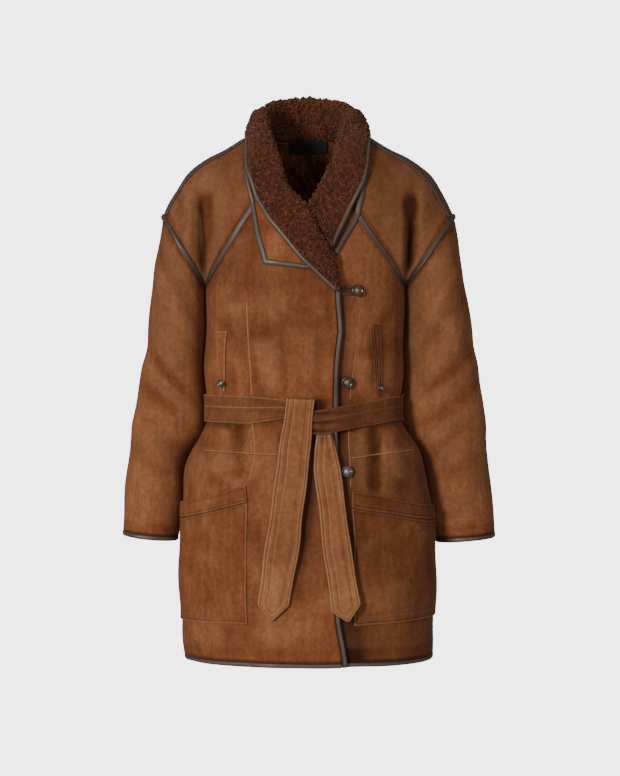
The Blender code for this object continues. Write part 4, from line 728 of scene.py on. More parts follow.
@dataclass(frozen=True)
class Woven(Look):
    """A satin label: warp and weft threads and a slight shine."""

    name: str = "black woven label"
    dark: Colour = (0.006, 0.006, 0.007)
    light: Colour = (0.013, 0.013, 0.014)

    def sockets(self, s: Shader) -> dict[str, object]:
        """Returns the surface's values."""
        place = s.place()
        warp, weft = (s.node("ShaderNodeTexWave", {"bands_direction": way}, {"Vector": place, "Scale": 380.0,
                                                                             "Distortion": 0.6})
                      for way in ("X", "Z"))
        cloth = warp * 0.6 + weft * 0.4
        dust = s.noise(place, 240.0, 4.0)
        colour = s.blend(s.between(cloth * 0.7 + dust * 0.4, 0.2, 0.9), self.dark, self.light)
        return dict(base_color=colour, roughness=0.70 + dust * 0.2, normal=s.bump(cloth, 0.0003, 0.6),
                    specular_ior_level=0.25, sheen_weight=0.05)


@dataclass(frozen=True)
class Paper(Look):
    """The pale studio ground, with a hardly visible mottle."""

    name: str = "studio paper"
    colour: Colour = (0.80, 0.80, 0.80)

    def sockets(self, s: Shader) -> dict[str, object]:
        """Returns the surface's values."""
        mottle = s.noise(s.place(), 3.0, 2.0)
        colour = s.blend(mottle, self.colour, tuple(c * 0.985 for c in self.colour))
        distance = s.node("ShaderNodeVectorMath", {"operation": "LENGTH"}, {0: s.place((1.0, 1.0, 0.0))}, "Value")
        return dict(base_color=colour, roughness=0.9, alpha=s.between(distance, 1.55, 0.9))


class Finish(Enum):
    """The finishes of the coat's pieces, each with the record's slot that it stands for."""

    SUEDE = ("tan_suede", Suede())
    STRAP = ("tan_suede", Suede("belt suede", (0.085, 0.024, 0.0098), (0.160, 0.053, 0.0207), (0.275, 0.110, 0.0470)))
    TAIL = ("tan_suede", Suede("light belt suede", (0.145, 0.047, 0.0180), (0.250, 0.094, 0.0370),
                               (0.370, 0.163, 0.0700)))
    LEATHER = ("dark_leather", Leather())
    FLEECE = ("shearling", Fleece())
    HORN = ("horn", Horn())
    BRASS = ("horn", Brass())
    NICKEL = ("horn", Brass("worn nickel", (0.040, 0.037, 0.034), (0.400, 0.385, 0.360)))
    THREAD = ("tan_suede", Thread("tan thread", (0.38, 0.20, 0.105), (0.20, 0.090, 0.040)))
    DARK_THREAD = ("dark_leather", Thread("dark thread", (0.070, 0.046, 0.034), (0.030, 0.018, 0.013)))
    LABEL = ("label", Woven())

    @property
    def slot(self) -> str:
        """The record's slot."""
        return self.value[0]


def put(name: str, data: bpy.types.ID) -> bpy.types.Object:
    """Puts a mesh, a light or a camera in the scene."""
    made = bpy.data.objects.new(name, data)
    bpy.context.scene.collection.objects.link(made)
    return made


class Wardrobe:
    """Makes each finish once, and turns point arrays into the coat's pieces."""

    def __init__(self, sway: Sway) -> None:
        """Makes the materials."""
        self.sway = sway
        self.materials = {finish: finish.value[1].material() for finish in Finish}
        self.count = 0

    def piece(self, name: str, points: Array, faces: list, finishes: Sequence[Finish], nodes: Sequence[str] = (),
              second: Optional[Array] = None, marks: Marks = None) -> bpy.types.Object:
        """Makes an object of the coat from points and faces.

        Args:
            name: the piece's name.
            points: its points, n by 3.
            faces: its faces as lists of point numbers.
            finishes: its finish, or its two finishes.
            nodes: the solids that it stands for.
            second: for each face, whether it takes the second finish.
            marks: numbers at the points that the finishes read, by name.

        Returns:
            The object, riding on the part.
        """
        mesh = bpy.data.meshes.new(name)
        mesh.from_pydata(self.sway.moved(points).tolist(), [], faces)
        for finish in finishes:
            mesh.materials.append(self.materials[finish])
        if second is not None:
            mesh.polygons.foreach_set("material_index", np.asarray(second, np.int32))
        for mark, values in (marks or {}).items():
            layer = mesh.attributes.new(mark, "FLOAT", "POINT")
            # the shade mark gains painted shade in the wrinkles
            extra = self.sway.painted_wrinkle_shade(points) if mark == "shade" else 0.0
            layer.data.foreach_set("value", np.asarray(values + extra, np.float32))
        shape = bmesh.new()
        shape.from_mesh(mesh)
        bmesh.ops.recalc_face_normals(shape, faces=shape.faces)
        shape.to_mesh(mesh)
        shape.free()
        mesh.shade_smooth()
        made = put(name, mesh)
        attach(made, "root")
        if nodes:
            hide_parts(*nodes)
        self.count += 1
        log.info("%s: %d faces", name, len(faces))
        return made


# x and z of a wrinkle's upper end, x and z of its lower end, half width, height
FRONT_WRINKLES = (
    (-0.190, -0.060, -0.1790, -0.285, 0.0120, -0.0048), (-0.180, -0.110, -0.1735, -0.262, 0.0050, -0.0068),
    (-0.170, -0.085, -0.1650, -0.255, 0.0060, 0.0035), (-0.204, -0.060, -0.1950, -0.200, 0.0070, 0.0030),
    (-0.214, -0.075, -0.2080, -0.190, 0.0060, -0.0020), (0.178, -0.050, 0.1710, -0.285, 0.0120, -0.0030),
    (0.171, -0.130, 0.1645, -0.275, 0.0050, -0.0048), (0.160, -0.080, 0.1560, -0.245, 0.0060, 0.0035),
    (0.194, -0.060, 0.1850, -0.190, 0.0070, 0.0028), (-0.140, -0.270, -0.1000, -0.400, 0.0110, 0.0025),
    (-0.030, -0.300, -0.0100, -0.420, 0.0130, 0.0025), (0.015, -0.330, 0.0200, -0.430, 0.0100, -0.0025),
    (-0.112, -0.470, -0.1200, -0.545, 0.0085, -0.0042), (-0.130, -0.480, -0.1400, -0.560, 0.0080, 0.0030),
    (-0.096, -0.480, -0.1000, -0.560, 0.0070, 0.0025), (0.106, -0.474, 0.1150, -0.555, 0.0105, -0.0034),
    (0.104, -0.315, 0.1120, -0.425, 0.0060, -0.0050), (-0.052, -0.300, -0.0200, -0.430, 0.0090, -0.0030),
    (0.121, -0.480, 0.1320, -0.570, 0.0080, 0.0025),
)
BACK_WRINKLES = (
    (-0.180, -0.110, -0.1740, -0.270, 0.0110, -0.0060), (0.174, -0.100, 0.1660, -0.270, 0.0110, -0.0060),
    (-0.050, -0.330, -0.0750, -0.440, 0.0120, -0.0030), (0.060, -0.310, 0.0720, -0.440, 0.0120, -0.0030),
)
WRINKLES = (*(Wrinkle(*row, -1.0) for row in FRONT_WRINKLES), *(Wrinkle(*row, 1.0) for row in BACK_WRINKLES))


def wrapped(index: Array, is_ring: bool) -> Array:
    """Returns a grid of point numbers, with its first column once more at its end where it is a ring."""
    return np.concatenate([index, index[:, :1]], axis=1) if is_ring else index


def cells_of(index: Array) -> Array:
    """Returns the four corners of each cell of a grid of point numbers."""
    return np.stack([index[:-1, :-1], index[:-1, 1:], index[1:, 1:], index[1:, :-1]], axis=-1).reshape(-1, 4)


def sheet_faces(rows: int, columns: int, start: int = 0, is_ring: bool = False, flip: bool = False) -> Array:
    """Returns the four corners of each cell of a grid whose points are numbered row by row from start."""
    faces = cells_of(wrapped(np.arange(rows * columns).reshape(rows, columns) + start, is_ring))
    return faces[:, ::-1] if flip else faces


def wall_faces(rows: int, columns: int, is_ring: bool = False) -> tuple[Array, int]:
    """Numbers the faces of a closed wall between two skins of one grid: outer skin, inner skin, then rims.

    Args:
        rows: the grid's rows.
        columns: the grid's columns.
        is_ring: whether the last column meets the first.

    Returns:
        The faces, and how many of them lie before those of the inner skin.
    """
    count = rows * columns
    outer = sheet_faces(rows, columns, 0, is_ring)
    inner = sheet_faces(rows, columns, count, is_ring, flip=True)
    index = wrapped(np.arange(count).reshape(rows, columns), is_ring)
    rims = [index[0], index[-1][::-1]]
    if not is_ring:
        rims += [index[:, 0][::-1], index[:, -1]]
    edges = [np.stack([rim[1:], rim[:-1], rim[:-1] + count, rim[1:] + count], axis=-1) for rim in rims]
    return np.concatenate([outer, inner, *edges]), len(outer)


def cut_of(points: Array) -> tuple[tuple[float, float], float]:
    """Measures a panel laid flat: its widest row, its longest column and the sum of its cells.

    Args:
        points: the panel's skin.

    Returns:
        The width and the length, and the area, held to what a sheet of that width and length can have.
    """
    width = np.linalg.norm(np.diff(points, axis=1), axis=-1).sum(axis=1).max()
    length = np.linalg.norm(np.diff(points, axis=0), axis=-1).sum(axis=0).max()
    one, two = points[1:, 1:] - points[:-1, :-1], points[1:, :-1] - points[:-1, 1:]
    area = np.linalg.norm(np.cross(one, two), axis=-1).sum() / 2
    return (float(width), float(length)), float(min(area, width * length))


# ---------------------------------------------------------------- the form that the panels lie on


def crease_height(folds: Sequence, x: Array, z: Array) -> Array:
    """Returns the sum of the folds at (x, z): each is a bell across its line that fades in and out along it."""
    total = np.zeros(np.broadcast(x, z).shape)
    for x_top, z_top, x_bottom, z_bottom, half_width, height in folds:
        share = (z - z_top) / (z_bottom - z_top)
        across = (x - mix(x_top, x_bottom, share)) / half_width
        fade = smooth_step(share / 0.2 + 0.3) * smooth_step((1.15 - share) / 0.35)
        total = total + height * bell(across) * fade
    return total


def body_point(angle: Array, z: Array) -> Array:
    """Works out points of the body's outer skin.

    Each section is |x / a|^p + |y / b|^p = 1 with p = BODY_POWER, whose half sizes a and b change with height, and
    the creases are added to its depth.

    Args:
        angle: 0 at the +X side, pi / 2 at the front and 3 pi / 2 at the back.
        z: the height.

    Returns:
        The points.
    """
    left, right, front, back = (through(BODY[:, 0], BODY[:, c], z) for c in range(1, 5))
    c, s = np.cos(angle), np.sin(angle)
    x = (right - left) / 2 + (right + left) / 2 * np.sign(c) * np.abs(c) ** (2 / BODY_POWER)
    reach = np.abs(s) ** (2 / BODY_POWER)
    is_front = s > 0
    crease = np.where(is_front, crease_height(FRONT_FOLDS, x, z), crease_height(BACK_FOLDS, x, z))
    depth = np.where(is_front, front, back) * reach + crease * smooth_step(reach * 1.6)
    return np.stack(np.broadcast_arrays(x, np.where(is_front, -depth, depth), z), axis=-1)


def angle_at(x: Array, z: Array, is_front: bool = True) -> Array:
    """Returns the angle at which the body's section at height z has that x."""
    x, z = np.asarray(x, float), np.asarray(z, float)
    left, right = (through(BODY[:, 0], BODY[:, c], z) for c in (1, 2))
    share = np.clip((x - (right - left) / 2) / ((right + left) / 2), -1.0, 1.0)
    angle = np.arccos(np.sign(share) * np.abs(share) ** (BODY_POWER / 2))
    return angle if is_front else 2 * math.pi - angle


def lap(points: Array) -> Array:
    """Returns the points of the front that laps over, moved out by the thickness of the front beneath it."""
    lifted = points.copy()
    lifted[..., 1] -= LAP_LIFT * ramp(points[..., 0], LAP_FROM_X, LAP_FULL_X - LAP_FROM_X)
    return lifted


def over_front_edge(points: Array) -> Array:
    """Returns the points of the belt's right part, moved out where it crosses the edge of the lapping front."""
    lifted = points.copy()
    share = ramp(points[..., 0], RAMP_FROM_X, RAMP_TO_X - RAMP_FROM_X)
    lifted[..., 1] -= mix(LAP_LIFT + BELT_OVER_EDGE_LIFT - BELT_LIFT, 0.0, share)
    return lifted


def unmoved(points: Array) -> Array:
    """Returns the points as they are."""
    return points


def front_points(places: Array, over: bool) -> tuple[Array, Array]:
    """Works out points on a front, and the directions out of it, from places in front view.

    Args:
        places: x and z in the last axis.
        over: whether the front is the one that laps over.

    Returns:
        The points and the directions, which are the cross product of two small steps.
    """
    raised = lap if over else unmoved
    x, z = places[..., 0], places[..., 1]

    def at(dx: float, dz: float) -> Array:
        """Returns the points a small step away."""
        return raised(body_point(angle_at(x + dx, z + dz), z + dz))

    step = 0.0015
    normals = unit(np.cross(at(step, 0) - at(-step, 0), at(0, step) - at(0, -step)))
    return at(0, 0), normals * np.where(normals[..., 1:2] > 0, -1.0, 1.0)


def raglan_line(side: int, is_front: bool, end: Sequence, steps: int) -> tuple[Array, Array]:
    """Returns the angles and heights of a raglan seam, from under the arm to its end beside the neck."""
    underarm_angle = (0.0 if is_front else 2 * math.pi) if side > 0 else math.pi
    angles = np.linspace(underarm_angle, float(angle_at(*end, is_front)), steps + 1)
    x = body_point(angles, np.full_like(angles, UNDERARM_Z))[..., 0]
    return angles, mix(UNDERARM_Z, end[1], (x - x[0]) / (x[-1] - x[0]))


class Patch:
    """A grid of points on the outer skin with their outward directions."""

    def __init__(self, points: Array, core: Array, is_ring: bool = False) -> None:
        """Keeps the grid and works out its directions, away from the core."""
        self.points, self.is_ring = points, is_ring
        self.normals = grid_normals(points, points - core, is_ring)

    def skin(self, lift: float) -> Array:
        """Returns the grid moved out by lift."""
        return self.points + self.normals * lift


@dataclass
class Form:
    """The skins of the coat's panels, with a number of steps for each one of the solids'."""

    fine: int
    crease_x: float = 0.170
    crease_half_width: float = 0.017
    crease_top_z: float = -0.075
    crease_depth: dict = field(default_factory=lambda: {True: 0.010, False: 0.007})
    sleeve_fold_half_width: float = 0.024
    sleeve_fold_slant: float = 0.03
    share_of_even_fan: float = 0.6
    same_place: float = 0.002
    patches: dict[str, Patch] = field(default_factory=dict)

    def __post_init__(self) -> None:
        """Makes every patch and shares the directions along their seams."""
        self.patches = {"front_over": self.front(-1), "front_under": self.front(1), "back": self.back()}
        for side, word in SIDES.items():
            self.patches["yoke_front_" + word] = self.yoke(side, True)
            self.patches["yoke_back_" + word] = self.yoke(side, False)
            self.patches["sleeve_" + word] = self.sleeve(side)
        self.share_directions()

    def panel_grid(self, level_angles: Array, top_angles: Array, top_z: Array) -> Array:
        """Makes a panel: level rows, and above them rows that fan out to its top edge.

        Args:
            level_angles: the angles of the level rows, one row each.
            top_angles: the angles along the top edge.
            top_z: the heights along the top edge.

        Returns:
            The points.
        """
        levels = self.levels()
        fan = np.linspace(0.0, 1.0, FAN_STEPS * self.fine + 1)[1:, None]
        eased_fan = smooth_step(fan) * (1 - self.share_of_even_fan) + fan * self.share_of_even_fan
        fan_angles = mix(level_angles[-1], top_angles, eased_fan)
        angles = np.concatenate([level_angles, fan_angles])
        level_z = np.broadcast_to(levels[:, None], level_angles.shape)
        return body_point(angles, np.concatenate([level_z, mix(levels[-1], top_z, fan)]))

    def levels(self) -> Array:
        """Returns the heights of the level rows."""
        count = len(LEVELS)
        return np.interp(np.linspace(0, count - 1, (count - 1) * self.fine + 1), np.arange(count), LEVELS)

    def front(self, side: int) -> Patch:
        """Makes a front; the one at -X laps over the other."""
        neck = OVER_NECKLINE if side < 0 else UNDER_NECKLINE
        steps = (OVER_NECK_STEPS if side < 0 else UNDER_NECK_STEPS) * self.fine
        raglan_angles, raglan_z = raglan_line(side, True, neck[0], RAGLAN_STEPS * self.fine)
        neckline = along_line(neck, steps)[1:]
        top_angles = np.concatenate([raglan_angles, angle_at(neckline[:, 0], neckline[:, 1])])
        top_z = np.concatenate([raglan_z, neckline[:, 1]])
        levels = self.levels()
        edge_x = np.full(len(levels), HIDDEN_EDGE_X)
        if side < 0:
            edge_x = through(OVER_EDGE[:, 1], OVER_EDGE[:, 0], levels)
        side_angle = math.pi if side < 0 else 0.0
        level_angles = mix(side_angle, angle_at(edge_x, levels)[:, None], np.linspace(0.0, 1.0, len(top_angles)))
        points = self.panel_grid(level_angles, top_angles, top_z)
        points = lap(points) if side < 0 else points
        return Patch(points, points * [0.0, 0.0, 1.0])

    def back(self) -> Patch:
        """Makes the back, from side seam to side seam, up to the raglan seams and the neck."""
        steps = RAGLAN_STEPS * self.fine
        left_angles, left_z = raglan_line(-1, False, (-BACK_NECK[0], BACK_NECK[1]), steps)
        right_angles, right_z = raglan_line(1, False, BACK_NECK, steps)
        share = np.linspace(0.0, 1.0, BACK_NECK_STEPS * self.fine + 1)[1:-1]
        neck_angles = mix(left_angles[-1], right_angles[-1], share)
        top_angles = np.concatenate([left_angles, neck_angles, right_angles[::-1]])
        top_z = np.concatenate([left_z, np.full(len(share), BACK_NECK[1]), right_z[::-1]])
        around = np.linspace(math.pi, 2 * math.pi, len(top_angles))
        level_angles = np.broadcast_to(around, (len(self.levels()), len(around)))
        points = self.panel_grid(level_angles, top_angles, top_z)
        return Patch(points, points * [0.0, 0.0, 1.0])

    def yoke(self, side: int, is_front: bool) -> Patch:
        """Makes the part between neck, shoulder line, armhole and raglan seam.

        Rows run from the neck to the armhole and columns from the shoulder line to the raglan seam. Each row is an
        arc of an ellipse, from a quarter beside the neck to a half round the armhole.
        """
        neck = OVER_NECKLINE[0] if side < 0 else UNDER_NECKLINE[0]
        end = neck if is_front else (side * BACK_NECK[0], BACK_NECK[1])
        steps = RAGLAN_STEPS * self.fine
        seam = body_point(*raglan_line(side, is_front, end, steps))
        seam = (lap(seam) if side < 0 and is_front else seam)[::-1, None]
        ridge = along_line(SHOULDER_LINE, steps)[:, None]
        facing = -1.0 if is_front else 1.0
        row = np.linspace(0.0, 1.0, steps + 1)[:, None]
        turn = mix(math.pi / 2, math.pi, smooth_step(row))
        half_depth = mix(abs(seam[0, 0, 1]), ARMHOLE_HALF_DEPTH, smooth_step(row))
        half_depth = half_depth - 0.45 * smooth_step(row) * np.abs(seam[..., 1])
        b = np.linspace(0.0, 1.0, AROUND_HALF_SLEEVE * self.fine + 1)[None, :]
        share = (1 - np.cos(turn * b)) / (1 - np.cos(turn))
        x = mix(side * ridge[..., 0], seam[..., 0], share)
        z = mix(ridge[..., 1], seam[..., 2], share)
        y = facing * half_depth * np.sin(turn * b)
        y = y + (seam[..., 1] - facing * half_depth * np.sin(turn)) * share
        depth = self.crease_depth[is_front] * bell((x - side * self.crease_x) / self.crease_half_width)
        depth = depth * ramp(-z, -self.crease_top_z, 0.05) * smooth_step((1 - row) / 0.25) * smooth_step((1 - b) / 0.3)
        points = np.stack([x, y - facing * depth, z], axis=-1)
        return Patch(points, np.array([side * 0.15, 0.0, -0.20]))

    def sleeve(self, side: int) -> Patch:
        """Makes a sleeve as slanting rings from the armhole to the cuff, with soft creases across its front."""
        table = ARMS[side]
        run = run_of(table[:, :2])
        down = np.linspace(0.0, run[-1], ARM_ROWS * self.fine + 1)
        outer_x, outer_z, inner_x, inner_z, half_depth, middle_y = through(run, table, down).T[..., None]
        turn = full_turn(2 * AROUND_HALF_SLEEVE * self.fine)[None, :]
        share = (1 - np.cos(turn)) / 2
        flat = (mix(outer_x, inner_x, share), middle_y - half_depth * np.sin(turn), mix(outer_z, inner_z, share))
        points = np.stack(flat, axis=-1)
        core = np.stack([(outer_x + inner_x) / 2, middle_y, (outer_z + inner_z) / 2], axis=-1)
        outwards = unit(points - core)
        armhole = points[0].copy()
        for place, facing, height in ARM_FOLDS:
            across = down[:, None] - place * run[-1] + self.sleeve_fold_slant * np.cos(turn)
            around = smooth_step((np.cos(turn - facing) + 0.1) / 1.1)
            fold = height * bell(across / self.sleeve_fold_half_width) * around
            points = points + outwards * fold[..., None]
        points[0] = armhole
        return Patch(points, core, is_ring=True)

    def share_directions(self) -> None:
        """Gives the points that panels share one outward direction, the mean of theirs; straight down underarm."""
        grids = list(self.patches.values())
        points = np.concatenate([g.points.reshape(-1, 3) for g in grids])
        normals = np.concatenate([g.normals.reshape(-1, 3) for g in grids])
        _, which = np.unique(np.round(points, 5), axis=0, return_inverse=True)
        which = which.reshape(-1)
        sums = np.zeros((which.max() + 1, 3))
        np.add.at(sums, which, normals)
        shared = unit(sums[which])
        for angle in (0.0, math.pi):
            underarm = body_point(np.array(angle), np.array(UNDERARM_Z))
            shared[np.linalg.norm(points - underarm, axis=1) < self.same_place] = (0.0, 0.0, -1.0)
        start = 0
        for grid in grids:
            count = grid.normals[..., 0].size
            grid.normals = shared[start:start + count].reshape(grid.normals.shape)
            start += count


class Cover:
    """The outer faces of some panels: finds the point that lies before a place in front view, and clears a skin."""

    def __init__(self, patches: Sequence[Patch]) -> None:
        """Keeps the faces in a tree, each turned outwards."""
        points, faces = [], []
        for patch in patches:
            quads = sheet_faces(*patch.points.shape[:2], len(points))
            one, two = patch.points[1, 1] - patch.points[0, 0], patch.points[1, 0] - patch.points[0, 1]
            if np.cross(one, two) @ patch.normals[0, 0] < 0:
                quads = quads[:, ::-1]
            points += patch.points.reshape(-1, 3).tolist()
            faces += quads.tolist()
        self.tree = BVHTree.FromPolygons(points, faces)

    def grid(self, places: Array) -> tuple[Array, Array]:
        """Finds the points of the panels before an array of places in front view, and the directions out there."""
        flat = places.reshape(-1, 2)
        hits = [self.tree.ray_cast(Vector((x, -0.4, z)), Vector((0.0, 1.0, 0.0)))[0] for x, z in flat]
        depth = np.array([np.nan if hit is None else hit.y for hit in hits]).reshape(places.shape[:-1])
        known = ~np.isnan(depth)
        if not known.all():
            index = np.arange(depth.shape[1])
            for row in depth:
                good = ~np.isnan(row)
                row[:] = np.interp(index, index[good], row[good]) if good.any() else np.nanmean(depth)
        points = np.stack([places[..., 0], depth, places[..., 1]], axis=-1)
        return points, grid_normals(points, np.array([0.0, -1.0, 0.0]))

    def clear(self, points: Array, distances: Array) -> Array:
        """Returns the points, each moved out where it is nearer to the panels' outer side than its distance."""
        moved = points.copy()
        for i, (point, distance) in enumerate(zip(points, distances)):
            near, normal, _, away = self.tree.find_nearest(Vector(point))
            offset = Vector(point) - near
            depth = offset.dot(normal)
            if away < distance or (depth < distance and (offset - normal * depth).length <= BESIDE):
                moved[i] = near + normal * distance
        return moved


# ---------------------------------------------------------------- pieces in general


@dataclass
class Seamstress:
    """Cuts walls, tubes and rows of stitches, and passes them to the wardrobe."""

    wardrobe: Wardrobe
    thread_radius: float = 0.00042
    share_of_thread: float = 0.72

    def wall(self, name: str, outer: Array, inner: Array, finish: Finish, nodes: Sequence[str],
             lining: Optional[Finish] = None, is_ring: bool = False,
             marks: Marks = None) -> bpy.types.Object:
        """Makes a closed wall between two skins of one grid.

        Args:
            name: the piece's name.
            outer: the outer skin.
            inner: the inner skin.
            finish: the finish of the outer skin and the rims.
            nodes: the solids that it stands for.
            lining: the finish of the inner skin, where it is another.
            is_ring: whether the last column meets the first.
            marks: numbers over the outer skin's grid, by name, or one for each point of both skins.

        Returns:
            The piece.
        """
        rows, columns = outer.shape[:2]
        faces, count = wall_faces(rows, columns, is_ring)
        second = np.zeros(len(faces), bool)
        second[count:] = lining is not None
        finishes = [finish] if lining is None else [finish, lining]
        points = np.concatenate([outer.reshape(-1, 3), inner.reshape(-1, 3)])
        full = {mark: values if np.size(values) == len(points)
                else np.concatenate([np.broadcast_to(values, (rows, columns)).ravel(), np.zeros(rows * columns)])
                for mark, values in (marks or {}).items()}
        return self.wardrobe.piece(name, points, faces.tolist(), finishes, nodes, second, full)

    def tube(self, name: str, sections: Array, finish: Finish, nodes: Sequence[str], is_ring: bool = False,
             marks: Marks = None) -> bpy.types.Object:
        """Makes a closed tube through sections of one number of points, with flat ends unless it is a ring."""
        count, sides = sections.shape[:2]
        index = wrapped(np.arange(count * sides).reshape(count, sides), True)
        if is_ring:
            index = np.concatenate([index, index[:1]])
        faces = cells_of(index).tolist()
        if not is_ring:
            faces += [index[0, :-1][::-1].tolist(), index[-1, :-1].tolist()]
        full = {mark: np.broadcast_to(values, (count, sides)).ravel() for mark, values in (marks or {}).items()}
        return self.wardrobe.piece(name, sections.reshape(-1, 3), faces, [finish], nodes, marks=full)

    def stitches(self, name: str, seams: Sequence[tuple[Array, Array]], finish: Finish,
                 pitch: float = 0.0038) -> bpy.types.Object:
        """Makes rows of stitches along seams: each is a thin spindle of eight faces along the seam.

        Args:
            name: the piece's name.
            seams: for each row, its points and the directions out of the cloth there.
            finish: the thread's finish.
            pitch: from one stitch to the next.

        Returns:
            The piece.
        """
        vertices, faces, start = [], [], 0
        for line, normals in seams:
            length = run_of(line)[-1]
            count = max(int(length / pitch), 1)
            ends = [(np.arange(count) + 0.5 + half * self.share_of_thread) * length / count for half in (-0.5, 0.5)]
            one, two = (read_along(line, line, end) for end in ends)
            out = unit(read_along(normals, line, (ends[0] + ends[1]) / 2))
            radius = self.thread_radius
            beside = unit(np.cross(two - one, out)) * radius
            middle = (one + two) / 2
            belt = [middle + beside, middle + out * radius * 1.2, middle - beside, middle - out * radius * 0.8]
            group = np.stack([one, two, *belt], axis=1)
            index = np.arange(count)[:, None] * 6 + start
            around = np.array([[0, 2, 3], [0, 3, 4], [0, 4, 5], [0, 5, 2], [1, 3, 2], [1, 4, 3], [1, 5, 4], [1, 2, 5]])
            faces.append((index[:, :, None] + around[None]).reshape(-1, 3))
            vertices.append(group.reshape(-1, 3))
            start += count * 6
        return self.wardrobe.piece(name, np.concatenate(vertices), np.concatenate(faces).tolist(), [finish])


def round_sections(centres: Array, one: Array, two: Array, radius: Array, sides: int) -> Array:
    """Returns regular sections about a line, in the planes of the two directions."""
    turn = full_turn(sides)[None, :, None]
    return centres[:, None] + (one[:, None] * np.cos(turn) + two[:, None] * np.sin(turn)) * radius


def trimmed(line: Array, start: float, end: float) -> Array:
    """Returns even distances along a line that is cut short at both ends, one for each of its points."""
    return np.linspace(start, run_of(line)[-1] - end, len(line))


def seam_on(skin: Array, normals: Array, where: object, lift: float = 0.0002) -> tuple[Array, Array]:
    """Returns a line of a skin for a row of stitches, just clear of it, with the directions out of it."""
    return skin[where] + normals[where] * lift, normals[where]


def band_along(line: Array, across: Array, half_width: float) -> tuple[Array, Array]:
    """Returns the grid of a band along a line in front view, and the directions beside the line."""
    along = directions(line)
    beside = np.stack([-along[:, 1], along[:, 0]], axis=-1)
    return line[:, None] + beside[:, None] * across[None, :, None] * half_width, beside


def edge_distance(points: Array, axis: int) -> Array:
    """Returns how far each point of a grid lies from the nearer of the two borders across an axis."""
    steps = np.linalg.norm(np.diff(points, axis=axis), axis=-1)
    run = np.cumsum(steps, axis=axis)
    run = np.insert(run, 0, 0.0, axis=axis)
    return np.minimum(run, run.take([-1], axis=axis) - run)


def border_distance(points: Array) -> Array:
    """Returns how far each point of a grid lies from the nearest of its four borders."""
    return np.minimum(edge_distance(points, 0), edge_distance(points, 1))


def rounded(distance: Array, radius: float, least: float = 0.25) -> Array:
    """Returns a quarter round's height, from least at the edge to 1: sqrt(1 - (1 - d / r)^2)."""
    arc = np.sqrt(1 - (1 - np.clip(distance / radius, 0.0, 1.0)) ** 2)
    return least + (1 - least) * arc


def hollows(points: Array, normals: Array) -> Array:
    """Returns how far the grid's surface bends in, as the height of its neighbours' mean above each point."""
    reach = 4
    padded = np.pad(points, ((reach, reach), (reach, reach), (0, 0)), mode="edge")
    rows, columns = points.shape[:2]
    around = [padded[reach + i:reach + i + rows, reach + j:reach + j + columns]
              for i, j in ((reach, 0), (-reach, 0), (0, reach), (0, -reach))]
    bend = np.sum((sum(around) / 4 - points) * normals, axis=-1)
    bend[:reach] = bend[-reach:] = 0.0
    bend[:, :reach] = bend[:, -reach:] = 0.0
    return bend


def denser(grid: Array, rows: int, columns: int) -> Array:
    """Reads a grid at more rows and columns, on straight lines between its own."""
    def lines(values: Array, count: int) -> Array:
        """Returns count rows between the first and the last one."""
        at = np.linspace(0, len(values) - 1, count)
        low = np.minimum(at.astype(int), len(values) - 2)
        return mix(values[low], values[low + 1], (at - low)[:, None, None])

    return lines(lines(grid, rows).transpose(1, 0, 2), columns).transpose(1, 0, 2)


# ---------------------------------------------------------------- panels


class Shadow(NamedTuple):
    """A painted shadow, a dark band in the nap: how dark it is, how far its middle lies from a line, and its half
    width.
    """

    dark: float
    offset: float
    half_width: float

    def at(self, distance: Array) -> Array:
        """Returns how dark the painted shadow is at distances from the line."""
        return self.dark * bell((distance - self.offset) / self.half_width)


